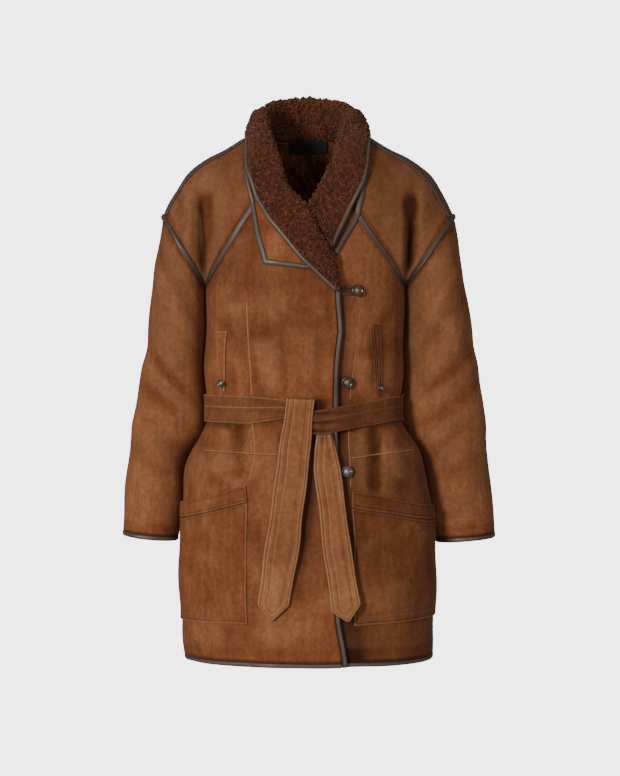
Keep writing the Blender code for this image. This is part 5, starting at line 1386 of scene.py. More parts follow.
@dataclass
class Panels:
    """Fronts, back, yokes and sleeves: suede outside and fleece inside."""

    sewing: Seamstress
    form: Form
    fleece_height: float = 0.0026
    lump: float = 0.0085
    # painted shadows under the belt, beside the left belt end, beside the neck tape and inside the right sleeve
    under_belt: Shadow = Shadow(0.35, -0.002, 0.006)
    beside_tail: Shadow = Shadow(1.15, 0.005, 0.014)
    beside_tape: Shadow = Shadow(0.80, 0.0, 0.0055)
    inside_sleeve: Shadow = Shadow(0.42, 0.172, 0.028)
    # painted shade on the upper parts of these panels, which tones down the light falling there
    upper: dict = field(default_factory=lambda: {"sleeve_left": 0.30, "yoke_front_left": 0.32, "front_over": 0.20,
                                                 "yoke_front_right": 0.40, "sleeve_right": 0.12})

    def painted_shadows(self, name: str, points: Array) -> Array:
        """Works out the painted shadows and shade of a panel: under the belt, beside the lapping front's edge, beside
        the left belt end, beside the neck tape, inside the right sleeve, over the right skirt and on the upper parts,
        where it tones down the light.

        Args:
            name: the panel's name.
            points: its points.

        Returns:
            How dark it is, from 0 to 0.8.
        """
        x, y, z = points[..., 0], points[..., 1], points[..., 2]
        belt = BELT_LEFT if name == "front_over" else BELT_RIGHT
        below = z - np.interp(x, belt[:, 0], belt[:, 2])
        dark = self.under_belt.at(below) * (y < 0) * name.startswith("front")
        if name == "front_under":
            # painted shadow beside the lapping front's edge, and painted shade over the right skirt, which turns away
            # from the light
            wide = 0.015 + 0.011 * ramp(-z, 0.55, 0.15)
            beside = x - np.interp(z, OVER_EDGE[:, 1], OVER_EDGE[:, 0])
            dark = dark + Shadow(0.70, wide * 0.60, wide).at(beside) * ramp(-z, 0.25, 0.03)
            dark = dark + 0.46 * ramp(-z, 0.47, 0.08) * ramp(x, 0.03, 0.02)
        dark = dark + self.upper.get(name, 0.0) * (ramp(z, -0.42, 0.12) * ramp(-y, -0.012, 0.035))
        if name == "front_over":
            beside = x - np.interp(-z, -LEFT_TAIL[:, 3], LEFT_TAIL[:, 2])
            dark = dark + self.beside_tail.at(beside) * (ramp(-z, 0.43, 0.02) * ramp(z, -0.84, 0.24))
        if name == "sleeve_right":
            dark = dark + self.inside_sleeve.at(x) * ramp(z, -0.47, 0.10) * ramp(-y, 0.0, 0.02)
        if name in ("front_under", "yoke_front_right"):
            tape = np.array(NECK_TAPE)
            gap = np.interp(-z, -tape[:, 1], tape[:, 0]) - 0.0085
            dark = dark + self.beside_tape.at(x - gap) * ramp(z, -0.23, 0.03)
        return dark

    def build(self) -> None:
        for name, patch in self.form.patches.items():
            outer = patch.skin(0.0)
            away = edge_distance(outer, 0) if patch.is_ring else border_distance(outer)
            lumps = CURLS.height(patch.points, self.lump)
            inner = patch.skin(-WALL) - patch.normals * (lumps * smooth_step(away / 0.01)
                                                         * self.fleece_height)[..., None]
            bend = hollows(outer, patch.normals)
            # painted shade where the skin bends in and within 2 mm of its edges, painted highlight where it bends out,
            # and a lining tuft from 0.10 up, painted light that lifts the lining's shade
            shade = np.clip(bend / 0.0040, 0.0, 0.22) + 0.70 * smooth_step(1 - away / 0.002)
            marks = {"shade": np.clip(shade + self.painted_shadows(name, patch.points), 0.0, 0.92),
                     "wear_and_highlight": np.clip(-bend / 0.0050, 0.0, 0.25),
                     "tuft": np.concatenate([np.zeros(lumps.size), 0.10 + 0.85 * lumps.ravel()])}
            made = self.sewing.wall(name + "_suede", outer, inner, Finish.SUEDE, [name], Finish.FLEECE,
                                    patch.is_ring, marks)


@dataclass
class Tapes:
    """Leather tapes over the seams of the yokes, and the tape beside the collar."""

    ACROSS = np.linspace(-1.0, 1.0, 13)

    sewing: Seamstress
    form: Form
    cover: Cover
    half_width: float = 0.0044
    lift: float = 0.0004
    thickness: float = 0.0020
    stitch_at: float = 0.70
    forward: dict = field(default_factory=lambda: {-1: 0.031, 1: 0.040})
    seams: list = field(default_factory=list)

    def lay(self, name: str, points: Array, normals: Array, lift: float = 0.0) -> None:
        """Lays a tape over a grid whose columns run across it.

        Its height across is t (1 - 0.6 u^8), less a narrow groove where it is stitched.
        """
        u, beside_stitches = self.ACROSS, np.abs(self.ACROSS) - self.stitch_at
        height = self.thickness * (1 - 0.6 * u ** 8) - 0.00045 * bell(beside_stitches / 0.10)
        ends = rounded(edge_distance(points, 0), 0.0015)
        outer = points + normals * (self.lift + lift + height * ends)[..., None]
        # rubbed edges and a painted highlight along the middle of the crown, and painted shade in the stitch grooves
        wear_and_highlight = 0.50 * bell((np.abs(u) - 0.90) / 0.12) + 0.45 * bell(u / 0.40)
        self.sewing.wall(name + "_leather", outer, points + normals * lift, Finish.LEATHER, [name],
                         marks={"wear_and_highlight": wear_and_highlight, "shade": 0.6 * bell(beside_stitches / 0.09)})
        for side in (-self.stitch_at, self.stitch_at):
            self.seams.append(seam_on(outer, normals, (slice(None), int(np.argmin(np.abs(u - side)))), 0.0001))

    def over_seam(self, name: str, border: tuple, start: float, end: float, lift: float = 0.0,
                  wider: float = 1.0) -> None:
        """Lays a tape over a seam.

        Args:
            name: the solid that it stands for.
            border: the seam's points and directions, and points beside it on its two panels.
            start: how far from the seam's first point the tape starts.
            end: how far from its last point it ends.
            lift: how much higher it lies than the others.
            wider: its width as a share of the others'.
        """
        points, normals, one, two = border
        at = trimmed(points, start, end)
        line, out, one, two = (read_along(values, points, at) for values in (points, normals, one, two))
        u = self.ACROSS[None, :, None]
        along = directions(line)
        one, two = (unit(side - line - along * np.sum((side - line) * along, axis=1, keepdims=True))
                    for side in (one, two))
        towards = np.where(u < 0, one[:, None], two[:, None])
        grid = line[:, None] + towards * np.abs(u) * self.half_width * wider
        self.lay(name, grid, np.repeat(unit(out)[:, None], grid.shape[1], axis=1), lift)

    def before_ridge(self, yoke: Patch, forward: float) -> tuple[Array, ...]:
        """Returns a line on a front yoke at a distance from its shoulder line, with its directions and neighbours."""
        wanted = ((yoke.points, 0.0), (yoke.normals, 0.0), (yoke.points, 0.002), (yoke.points, -0.002))
        return tuple(np.array([read_along(values, row, [forward + step])[0] for row, values in zip(yoke.points, grid)])
                     for grid, step in wanted)

    def build(self) -> None:
        """Lays every tape."""
        patches, fine = self.form.patches, self.form.fine
        columns, half, back = np.arange(RAGLAN_STEPS * fine + 1), AROUND_HALF_SLEEVE * fine, patches["back"]
        for side, word in SIDES.items():
            front = patches["front_over" if side < 0 else "front_under"]
            yokes = patches["yoke_front_" + word], patches["yoke_back_" + word]
            back_columns = back.points.shape[1] - 1 - columns if side > 0 else columns
            for label, panel, yoke, picked, end in (("front", front, yokes[0], columns, 0.031 if side > 0 else 0.003),
                                                    ("back", back, yokes[1], back_columns, 0.003)):
                border = (panel.points[-1, picked], panel.normals[-1, picked], panel.points[-2, picked],
                          yoke.points[::-1, -2])
                self.over_seam(f"raglan_tape_{label}_{word}", tuple(part[2:] for part in border), 0.0, end)
            border = self.before_ridge(yokes[0], self.forward[side])
            self.over_seam("shoulder_tape_" + word, tuple(part[fine:] for part in border), 0.004, 0.004, 0.0006, 1.4)
            start, stop = half - fine // 2, half + 1 - fine // 2
            ring, ring_out, beside = (np.concatenate([getattr(yokes[0], kind)[row][start:0:-1],
                                                      getattr(yokes[1], kind)[row][:stop]])
                                      for kind, row in (("points", -1), ("normals", -1), ("points", -2)))
            border = (ring, ring_out, beside, patches["sleeve_" + word].points[1, np.arange(start, -stop, -1)])
            self.over_seam("armhole_tape_" + word, border, 0.0, 0.0, 0.0008)
        grid, _ = band_along(along_line(NECK_TAPE, 90), self.ACROSS, self.half_width)
        self.lay("neck_tape", *self.cover.grid(grid), 0.0010)
        self.sewing.stitches("tape_stitches", self.seams, Finish.DARK_THREAD)


@dataclass
class Station:
    """A place along the collar: its foot with the directions there, and the roll, edge and thicknesses above it."""

    foot: Array
    outwards: Array
    normal: Array
    roll: Array
    edge: Array
    bulk: float
    stand: float
    is_over: bool

    def section(self, cover: Cover) -> tuple[Array, tuple[Array, Array, Array]]:
        """Works out the collar's section here.

        A wall leaves the neck seam, rises to the roll, turns over on a half circle and falls to its free edge. Its
        thickness is the panels' at the seam and the collar's own beyond the roll.

        Args:
            cover: the panels that the fall is held clear of.

        Returns:
            The ring of points, and the place and directions of the free edge.
        """
        foot, edge, bulk = self.foot, self.edge, self.bulk
        up = unit(self.roll - (foot + edge) / 2)
        across = edge - foot
        across = across - up * (across @ up)
        radius = np.clip(np.linalg.norm(across) / 2, bulk / 2 + 0.0005, 0.013)
        across = unit(across)
        centre = self.roll - up * (bulk / 2 + radius)
        angles = np.linspace(0.0, math.pi, ARC_STEPS + 1)[:, None]
        arc = centre - across * np.cos(angles) * radius + up * np.sin(angles) * radius
        start = foot + self.outwards * min(SEAM_LEAD, np.linalg.norm(arc[0] - foot) / 3)
        leg = np.stack([foot, start, mix(start, arc[0], 0.5)])
        line = np.concatenate([leg, arc, mix(arc[-1], edge, np.array([0.5, 1.0])[:, None])])
        outer = slice(len(leg) + 3, None)
        in_front = smooth_step((-line[outer, 1] - 0.02) / 0.03) * self.is_over
        line[outer] = cover.clear(line[outer], mix(COLLAR_CLEARANCE, FLAP_CLEARANCE, in_front))
        along = directions(line)
        along[0] = self.outwards
        out = unit(np.cross(along, np.cross(up, across)))
        out[0] = -self.normal
        out[1] = unit(out[1] - 2 * self.normal)
        turned = smooth_step(np.linspace(0.0, 1.0, len(arc)) * 1.6)
        thickness = np.concatenate([[WALL, WALL, mix(WALL, self.stand, 0.7)], mix(self.stand, bulk, turned),
                                    [bulk, bulk * 0.8]])
        half = thickness[:, None] / 2
        return np.concatenate([line + out * half, (line - out * half)[::-1]]), (line[-1], along[-1], out[-1])


@dataclass
class Collar:
    """The shawl collar: one band of fleece from front to front, with a leather piping along its free edge."""

    sewing: Seamstress
    form: Form
    cover: Cover
    stations: int = 430
    around: int = 150
    curl: float = 0.0058
    curl_height: float = 0.0030
    tip: tuple = (0.0500, 0.0, -0.2610)
    tip_size: float = 0.22
    tongue: float = 0.010
    piping: float = 0.0040
    lock_step: float = 2.3

    def lead(self, patch: Patch, row: int, columns: Array) -> Array:
        """Returns the directions that point out of a panel across one of its borders."""
        border, beside = patch.points[row], patch.points[1 if row == 0 else -2]
        away = np.cross(directions(border), patch.normals[row])
        for end, neighbour in ((0, 1), (-1, -2)):
            if np.linalg.norm(away[end]) < 0.7:
                away[end] = away[neighbour]
        away = unit(away)
        return (away * -np.sign(np.sum(away * (beside - border))))[columns]

    def neck_edge(self, side: int) -> tuple[Array, Array, Array, Array]:
        """Follows the line of the collar's foot.

        Args:
            side: -1 for the front that laps over, 1 for the other.

        Returns:
            The run, the points, the directions out of the panels' edge and the panels' own directions, from the
            lower end of the front's neckline to the middle of the back.
        """
        word = SIDES[side]
        front, back = self.form.patches["front_over" if side < 0 else "front_under"], self.form.patches["back"]
        middle = back.points.shape[1] // 2
        neck = np.arange(RAGLAN_STEPS + 1, middle + 1)
        neck = 2 * middle - neck if side > 0 else neck
        yoke_front, yoke_back = self.form.patches["yoke_front_" + word], self.form.patches["yoke_back_" + word]
        parts = ((front, -1, np.arange(front.points.shape[1] - 1, RAGLAN_STEPS - 1, -1)),
                 (yoke_front, 0, np.arange(AROUND_HALF_SLEEVE - 1, -1, -1)),
                 (yoke_back, 0, np.arange(1, AROUND_HALF_SLEEVE + 1)), (back, -1, neck))
        feet = np.concatenate([p.points[r, c] - p.normals[r, c] * WALL / 2 for p, r, c in parts])
        normals = np.concatenate([p.normals[r, c] for p, r, c in parts])
        leads = np.concatenate([self.lead(p, r, c) for p, r, c in parts])
        for corner in np.cumsum([len(part[2]) for part in parts[:-1]]) - 1:
            leads[corner] = unit(leads[corner - 1] + leads[corner + 1])
        line = feet + leads * FOOT_GAP
        return run_of(line), line, leads, normals

    def rows(self, side: int) -> Array:
        """Returns the guide rows of one half, as run, roll, edge, thickness and thickness of the stand."""
        fall, foot = COLLAR_FALL_LIFT[side], COLLAR_FOOT_LIFT[side]
        fall_here = fall - LAP_LIFT if side < 0 else fall
        made = []
        for along, roll, edge, bulk in LAPEL_ROWS[side]:
            depths = [float(front_points(np.array(place), side < 0)[0][1]) for place in (roll, edge)]
            made.append((along, roll[0], depths[0] - (fall_here + foot) / 2, roll[1], edge[0], depths[1] - fall_here,
                         edge[1], bulk, WALL))
        made += [(along, *roll, *edge, bulk, bulk) for along, roll, edge, bulk in COLLAR_ROWS[side]]
        made = np.array(made)
        return made[np.argsort(made[:, 0])]

    def frames(self) -> tuple[Array, Array, Array, Array]:
        """Works out the collar's sections and the frames of its free edge at the neck edge's own points."""
        halves = []
        for side in (-1, 1):
            run, line, leads, normals = self.neck_edge(side)
            rows = self.rows(side)
            at = run[run >= rows[0, 0]]
            guide = through(rows[:, 0], rows[:, 1:], at)
            feet, outwards, faced = (read_along(values, line, at) for values in (line, leads, normals))
            halves.append([Station(foot, lead, normal, row[:3], row[3:6], row[6], row[7], side < 0)
                           for foot, lead, normal, row in zip(feet, unit(outwards), unit(faced), guide)])
        made = [station.section(self.cover) for station in halves[0] + halves[1][-2::-1]]
        edge, along, out = (np.array([frame[i] for _, frame in made]) for i in range(3))
        return np.array([section for section, _ in made]), edge, along, out

    def lengthened(self, sections: Array, edge: Array, along: Array, out: Array) -> tuple[Array, ...]:
        """Adds the collar's tip at the lapping front, and a tongue at its other end that tucks under the first.

        Args:
            sections: the collar's sections.
            edge: its free edge.
            along: the directions out of the free edge.
            out: the directions out of the fleece there.

        Returns:
            The four with two more stations at each end.
        """
        def added(values: Array, first: Array, last: Array) -> Array:
            """Returns the values with two more at each end."""
            return np.concatenate([first[::-1], values, last])

        shares = np.array([0.5, 1.0])
        tip = np.array(self.tip) + [0.0, edge[0, 1], 0.0]
        small = (sections[0] - sections[0].mean(axis=0)) * self.tip_size
        tapered = [mix(sections[0], tip + small, s) for s in shares]
        step = unit(sections[-1].mean(axis=0) - sections[-2].mean(axis=0)) * self.tongue
        tongue = [sections[-1] + step * s for s in shares]
        edges = [mix(edge[0], tip - along[0] * 0.001, s) for s in shares]
        sections = added(sections, np.array(tapered), np.array(tongue))
        edge = added(edge, np.array(edges), np.array([edge[-1] + step * s * 0.4 for s in shares]))
        return sections, edge, *(added(v, np.array([v[0]] * 2), np.array([v[-1]] * 2)) for v in (along, out))

    def locks(self, ring: Array, normals: Array, lumps: Array, first: int, last: int) -> None:
        """Stands curled locks of wool on the fleece.

        Each is a tube of four sides that bends over on an arc, p + n r sin(a t) + s r (1 - cos(a t)), and thins to
        a point as sqrt(1 - t^2).

        Args:
            ring: the skin of the collar.
            normals: the directions out of it.
            lumps: the height of its lumps.
            first: the first column with fleece.
            last: the last one.
        """
        draw = np.random.default_rng(7)
        rows, columns = np.meshgrid(np.arange(1, len(ring) - 1, self.lock_step),
                                    np.arange(first, last, self.lock_step), indexing="ij")
        row, column = (np.clip(np.round(grid.ravel() + draw.uniform(-0.9, 0.9, grid.size)), low, high).astype(int)
                       for grid, low, high in ((rows, 1, len(ring) - 2), (columns, first, last)))
        foot, out = ring[row, column], normals[row, column]
        count = len(foot)
        lean = draw.normal(size=(count, 3)) + [0.0, 0.0, -0.4]
        lean = unit(lean - out * np.sum(lean * out, axis=1, keepdims=True))
        beside = np.cross(out, lean)
        high = 1 + 1.1 * smooth_step((foot[:, 2:] - 0.055) / 0.025)
        reach = draw.uniform(0.0012, 0.0026, (count, 1)) * high
        bend = draw.uniform(1.6, 3.0, (count, 1)) / high
        rings = []
        for share in (0.0, 0.35, 0.70, 0.92):
            turn = bend * share
            middle = foot - out * 0.0006 + (out * np.sin(turn) + lean * (1 - np.cos(turn))) * reach
            up = out * -np.sin(turn) + lean * np.cos(turn)
            thick = reach * 0.62 * math.sqrt(1 - share ** 2)
            rings.append(np.stack([middle + beside * thick, middle + up * thick, middle - beside * thick,
                                   middle - up * thick], axis=1))
        points = np.stack(rings, axis=1).reshape(-1, 3)
        k = np.arange(4)
        a, b = np.stack([k, (k + 1) % 4]) + np.zeros((1, 1), int)
        sides = [[a[i] + 4 * r, b[i] + 4 * r, b[i] + 4 * r + 4, a[i] + 4 * r + 4] for r in range(3) for i in range(4)]
        shape = np.array(sides + [[3, 2, 1, 0], [12, 13, 14, 15]])
        faces = (np.arange(count)[:, None, None] * 16 + shape[None]).reshape(-1, 4)
        # each lock is darker at its foot, painted shade among the others, and lighter towards its tip
        tuft = lumps[row, column, None] * 0.5 + np.array([0.10, 0.30, 0.55, 0.70]) + draw.normal(0, 0.10, (count, 1))
        self.sewing.wardrobe.piece("collar_locks", points, faces.tolist(), [Finish.FLEECE],
                                   marks={"tuft": np.repeat(tuft.ravel(), 4)})

    def build(self) -> None:
        """Makes the fleece band and its piping."""
        sections, edge, along, out = self.frames()
        sections, edge, along, out = self.lengthened(sections, edge, along, out)
        middle = sections.shape[1] / 2
        ring = finer(sections, self.stations, self.around, is_ring=True)
        normals = grid_normals(ring, ring - ring.mean(axis=1, keepdims=True), is_ring=True)
        place = np.linspace(0, sections.shape[1], self.around, endpoint=False)
        on_fleece = smooth_step((place - 0.4) / 1.0) * smooth_step((middle + 0.6 - place) / 1.2)
        on_fleece = np.broadcast_to(on_fleece, ring.shape[:2])
        coarse, small = CURLS.height(ring, self.curl), CURLS.height(ring + 0.31, self.curl / 2)
        lumps = coarse ** 1.3 * 0.62 + small * 0.38
        ring = ring + normals * (on_fleece * (lumps - 0.80) * self.curl_height)[..., None]
        count = ring.shape[0] * ring.shape[1]
        faces = sheet_faces(*ring.shape[:2], 0, is_ring=True)
        column = np.arange(len(faces)) % self.around
        fleece_face = on_fleece[0, column] > 0.05
        last = np.arange(count - self.around, count).tolist()
        ends = [list(range(self.around))[::-1], last]
        marks = {"tuft": (lumps * on_fleece).ravel(), "shade": np.zeros(count), "wear_and_highlight": np.zeros(count)}
        made = self.sewing.wardrobe.piece("collar_fleece", ring.reshape(-1, 3), faces.tolist() + ends,
                                          [Finish.FLEECE, Finish.SUEDE], ["collar"],
                                          np.concatenate([~fleece_face, [False, False]]), marks)
        self.locks(ring, normals, lumps, int(self.around * 0.9 / sections.shape[1]) + 1, self.around // 2 - 1)
        flat, area = cut_of(finer(sections[:, :11], 60, 20))
        centre = edge + along * (self.piping + PIPING_GAP * 0.4)
        places = np.linspace(0, len(edge) - 1, 420)
        centre, along, out = (through(np.arange(len(edge)), values, places) for values in (centre, along, out))
        sides = 14
        sections = round_sections(centre, unit(along), unit(out), self.piping, sides)
        # painted highlight along one side of the piping
        self.sewing.tube("collar_piping_leather", sections, Finish.LEATHER, ["collar_piping"],
                         marks={"wear_and_highlight": 0.8 * bell((np.arange(sides) - 3.0) / 1.5)})


@dataclass
class Lapel:
    """The flap under the collar with its leather tape."""

    sewing: Seamstress
    cover: Cover
    tapes: Tapes
    rows: int = 10
    columns: tuple = (0.25, 0.5, 0.75, 1.0)
    tape_width: float = 0.0092
    lift: float = 0.0025
    thickness: float = 0.0020

    def build(self) -> None:
        """Makes the flap as a grid between its outer and its inner line, and the tape along its outline."""
        outer, inner = along_line(FLAP_OUTER, self.rows), along_line(FLAP_INNER, self.rows)
        lines = [outer, outer + unit(inner - outer) * self.tape_width]
        lines += [mix(lines[1], inner, share) for share in self.columns]
        places = np.stack(lines, axis=1)
        upper_row = places[-1:] + unit(places[-2:-1] - places[-1:]) * self.tape_width
        places = np.concatenate([places[:-1], upper_row, places[-1:]])
        points, normals = self.cover.grid(denser(places, 70, 46))
        height = self.thickness * rounded(border_distance(points), 0.002)
        bend = hollows(points, normals)
        # painted shade where the flap bends in
        self.sewing.wall("lapel_flap_suede", points + normals * (self.lift + height)[..., None],
                         points + normals * (self.lift * 0.3), Finish.SUEDE, ["lapel_flap"],
                         marks={"shade": np.clip(bend / 0.002, 0, 0.5)})
        outside = [(row, 0) for row in range(self.rows)] + [(-1, column) for column in (0, 2, 3, 4, 5)]
        inside = [(row, 1) for row in range(self.rows)] + [(-2, column) for column in (1, 2, 3, 4, 5)]
        picked = np.array([outside, inside]).transpose(1, 2, 0)
        band = places[picked[:, 0], picked[:, 1]]
        points, normals = self.cover.grid(denser(band, 150, 13))
        self.tapes.lay("lapel_tape", points, normals, self.lift + self.thickness + 0.0006)


@dataclass
class Bindings:
    """Leather bindings of the front edge, the hem and the cuffs."""

    sewing: Seamstress
    form: Form
    edge_half_width: float = 0.0041
    hem_half_width: float = 0.0040
    cuff_half_width: float = 0.0042
    half_thickness: float = WALL / 2 + 0.0006
    sides: int = 16

    def bind(self, name: str, points: Array, normals: Array, beside: Array, half_width: float, cut: float = 0.0,
             is_ring: bool = False) -> None:
        """Makes a rounded bead along a free edge: |u|^3 + |v|^3 = 1 across it.

        Args:
            name: the solid that it stands for.
            points: the edge on the outer skin.
            normals: the directions out of the coat there.
            beside: points inside the edge.
            half_width: half the bead's width.
            cut: how far the bead stops before the line's end.
            is_ring: whether the edge closes.
        """
        if not is_ring:
            at = trimmed(points, 0.0002, max(cut, 0.0002))
            points, normals, beside = (read_along(values, points, at) for values in (points, normals, beside))
            along = np.gradient(points, axis=0)
        else:
            along = np.gradient(np.concatenate([points[-1:], points, points[:1]]), axis=0)[1:-1]
        away = unit(np.cross(along, normals))
        away = away * np.sign(np.sum(away * (points - beside)))
        turn = full_turn(self.sides)
        u, v = (np.sign(wave) * np.abs(wave) ** (2 / 3) for wave in (np.cos(turn), np.sin(turn)))
        centre = points - normals * WALL / 2 + away * half_width
        section = (centre[:, None] + away[:, None] * u[None, :, None] * half_width * 1.02
                   + normals[:, None] * v[None, :, None] * self.half_thickness)
        # painted highlight along the crest of the bead's outer half
        self.sewing.tube(name + "_leather", section, Finish.LEATHER, [name], is_ring,
                         {"wear_and_highlight": 0.95 * bell((u - 0.10) / 0.38) * (v > 0.0)})

    def build(self) -> None:
        """Makes every binding."""
        over, under, back = (self.form.patches[name] for name in ("front_over", "front_under", "back"))
        points = over.points[:, -1]
        foot = points[:1] + unit(points[:1] - points[1:2]) * 2 * self.hem_half_width
        self.bind("front_edge_binding", np.concatenate([foot, points]),
                  np.concatenate([over.normals[:1, -1], over.normals[:, -1]]),
                  np.concatenate([over.points[:1, -2], over.points[:, -2]]), self.edge_half_width, 0.001)
        self.bind("hem_binding_over", over.points[0], over.normals[0], over.points[1], self.hem_half_width)
        parts = ((under, slice(None, None, -1)), (back, slice(-2, None, -1)))
        points, normals, beside = (np.concatenate([getattr(patch, kind)[row, order] for patch, order in parts])
                                   for kind, row in (("points", 0), ("normals", 0), ("points", 1)))
        self.bind("hem_binding_under", points, normals, beside, self.hem_half_width)
        for word in SIDES.values():
            sleeve = self.form.patches["sleeve_" + word]
            self.bind("cuff_binding_" + word, sleeve.points[-1], sleeve.normals[-1], sleeve.points[-2],
                      self.cuff_half_width, is_ring=True)


def strap_grid(straps: Array, angles: Array, shares: Array,
               raised: Callable[[Array], Array]) -> tuple[Array, Array]:
    """Works out a band of the body's skin between the upper and lower edges that a table gives along x.

    Args:
        straps: x, upper z and lower z, row by row.
        angles: the angles of its columns.
        shares: the places of its rows, from the lower to the upper edge.
        raised: what moves the points where a layer lies beneath.

    Returns:
        The points and the directions out of the coat.
    """
    middle = (straps[0, 1:].mean() + straps[-1, 1:].mean()) / 2
    x = body_point(angles, np.full_like(angles, middle))[:, 0]
    top, bottom = np.interp(x, straps[:, 0], straps[:, 1]), np.interp(x, straps[:, 0], straps[:, 2])
    z = mix(bottom, top, shares[:, None])
    points = raised(body_point(np.broadcast_to(angles, z.shape), z))
    return points, grid_normals(points, points * [1.0, 1.0, 0.0])


@dataclass
class Pockets:
    """Patch pockets with their bands, and the welts of the chest pockets, each with its topstitching."""

    sewing: Seamstress
    stitch_in: float = 0.0042
    second_row: float = 0.0145
    welt_stitch_in: float = 0.0024
    edge_radius: float = 0.0020
    groove_half_width: float = 0.0008
    groove_depth: float = 0.0005

    def slab(self, name: str, points: Array, normals: Array, lift: float, thickness: float, sag: Array,
             inset: float, rubbed_and_highlight: float, dark: float) -> Array:
        """Makes a slab with rounded edges and a groove where it is stitched.

        Args:
            name: the solid that it stands for.
            points: its place on the panel.
            normals: the directions out of the panel.
            lift: the gap beneath it.
            thickness: its thickness.
            sag: how much further its surface stands out, point by point.
            inset: how far inside its edge the groove runs.
            rubbed_and_highlight: how light its edges are, from wear and painted highlight, apart from the top one.
            dark: how much painted shade darkens it beyond the others.

        Returns:
            Its outer skin.
        """
        away = border_distance(points)
        groove = bell((away - inset) / self.groove_half_width)
        height = thickness * rounded(away, self.edge_radius) - self.groove_depth * groove + sag
        outer = points + normals * (lift + height)[..., None]
        bend = hollows(outer, normals)
        low = (np.arange(len(points)) < len(points) * 0.6)[:, None] | (edge_distance(points, 1) < 0.0035)
        # lighter edges from wear and painted highlight, and painted highlight on outward bends
        wear_and_highlight = rubbed_and_highlight * bell((away - 0.0010) / 0.0010) * low + 0.2 * np.clip(-bend / 0.003, 0, 1)
        # painted shade in the groove, in the hollows, at the very edge and over the whole slab by dark
        shade = 0.35 * groove + np.clip(bend / 0.002, 0, 0.4) + 0.3 * smooth_step(1 - away / 0.0005) + dark
        self.sewing.wall(name + "_suede", outer, points + normals * lift * 0.3, Finish.SUEDE, [name],
                         marks={"wear_and_highlight": wear_and_highlight, "shade": shade})
        return outer

    def border(self, outer: Array, normals: Array, inset: float, sides: str = "blrt") -> list:
        """Returns lines inside a slab's borders: bottom, left, right and top, as its letters say."""
        across, up = edge_distance(outer, 1), edge_distance(outer, 0)
        middle_row, middle_column = len(outer) // 2, outer.shape[1] // 2
        low = int(np.argmin(np.abs(up[:middle_row, middle_column] - inset)))
        high = middle_row + int(np.argmin(np.abs(up[middle_row:, middle_column] - inset)))
        first = int(np.argmin(np.abs(across[middle_row, :middle_column] - inset)))
        last = middle_column + int(np.argmin(np.abs(across[middle_row, middle_column:] - inset)))
        rows, columns = slice(low, high + 1), slice(first, last + 1)
        lines = {"b": (low, columns), "t": (high, columns), "l": (rows, first), "r": (rows, last)}
        return [seam_on(outer, normals, lines[s]) for s in sides]

    def build(self) -> None:
        """Makes the pockets, their bands and the welts."""
        seams = []
        for side, word in SIDES.items():
            start = math.pi - POCKET_SIDE_ANGLE if side < 0 else POCKET_SIDE_ANGLE
            columns = mix(start, float(angle_at(POCKET_INNER_X[side], POCKETS[side][0, 1])), eased(90))
            for is_band, table, thickness, rows in ((False, POCKETS[side], POCKET_THICKNESS, 96),
                                                    (True, BANDS[side], BAND_THICKNESS, 36)):
                points, normals = strap_grid(table, columns, eased(rows), lap if side < 0 else unmoved)
                up, across = np.meshgrid(eased(rows), eased(len(columns)), indexing="ij")
                arch = np.sin(math.pi * across)
                if is_band:
                    sag = 0.0012 * np.sin(math.pi * up) * arch
                else:
                    sag = 0.0014 * arch * smooth_step(up * 3) * smooth_step((1 - up) * 6)
                    sag = sag + 0.0010 * np.sin(across * 9.0 + side) * np.sin(up * 7.0) * arch
                # the left pocket's edges get the most painted highlight, and the right pocket and its band get painted
                # shade
                rubbed_and_highlight = 0.15 if is_band else (0.50 if side < 0 else 0.35)
                outer = self.slab(("pocket_band_" if is_band else "pocket_") + word, points, normals, POCKET_LIFT,
                                  thickness, sag, self.stitch_in, rubbed_and_highlight, 0.30 * (side > 0) + 0.05)
                seams += self.border(outer, normals, self.stitch_in)
                seams += [] if is_band else self.border(outer, normals, self.second_row, "b")
            table = WELTS[side]
            z = table[0, 0] + (table[-1, 0] - table[0, 0]) * eased(70)
            left, right = (np.interp(-z, -table[:, 0], table[:, c]) for c in (1, 2))
            x = mix(left[:, None], right[:, None], eased(22)[None])
            points, normals = front_points(np.stack([x, np.broadcast_to(z[:, None], x.shape)], axis=-1), side < 0)
            # the right welt gets painted shade
            outer = self.slab("welt_" + word, points, normals, WELT_LIFT, WELT_THICKNESS, np.zeros(x.shape),
                              self.welt_stitch_in, 0.9 if side < 0 else 0.1, 0.5 * (side > 0))
            seams += self.border(outer, normals, self.welt_stitch_in)
        self.sewing.stitches("pocket_stitches", seams, Finish.THREAD)


# x and z of each seam's points in front view, whether it lies on the front that laps over
PANEL_SEAMS = (
    (((-0.1022, -0.2791), (-0.0975, -0.3600), (-0.0940, -0.4331)), True),
    (((-0.0916, -0.4806), (-0.0891, -0.5330), (-0.0957, -0.5690)), True),
    (((0.0986, -0.2284), (0.0861, -0.2873), (0.0796, -0.3512), (0.0730, -0.4003), (0.0681, -0.4413)), False),
    (((0.0673, -0.4850), (0.0673, -0.5350), (0.0673, -0.5837)), False),
    (((-0.1726, -0.5248), (-0.1050, -0.5290), (-0.0500, -0.5310)), True),
    (((0.0714, -0.5362), (0.1240, -0.5300), (0.1762, -0.5248)), False),
)


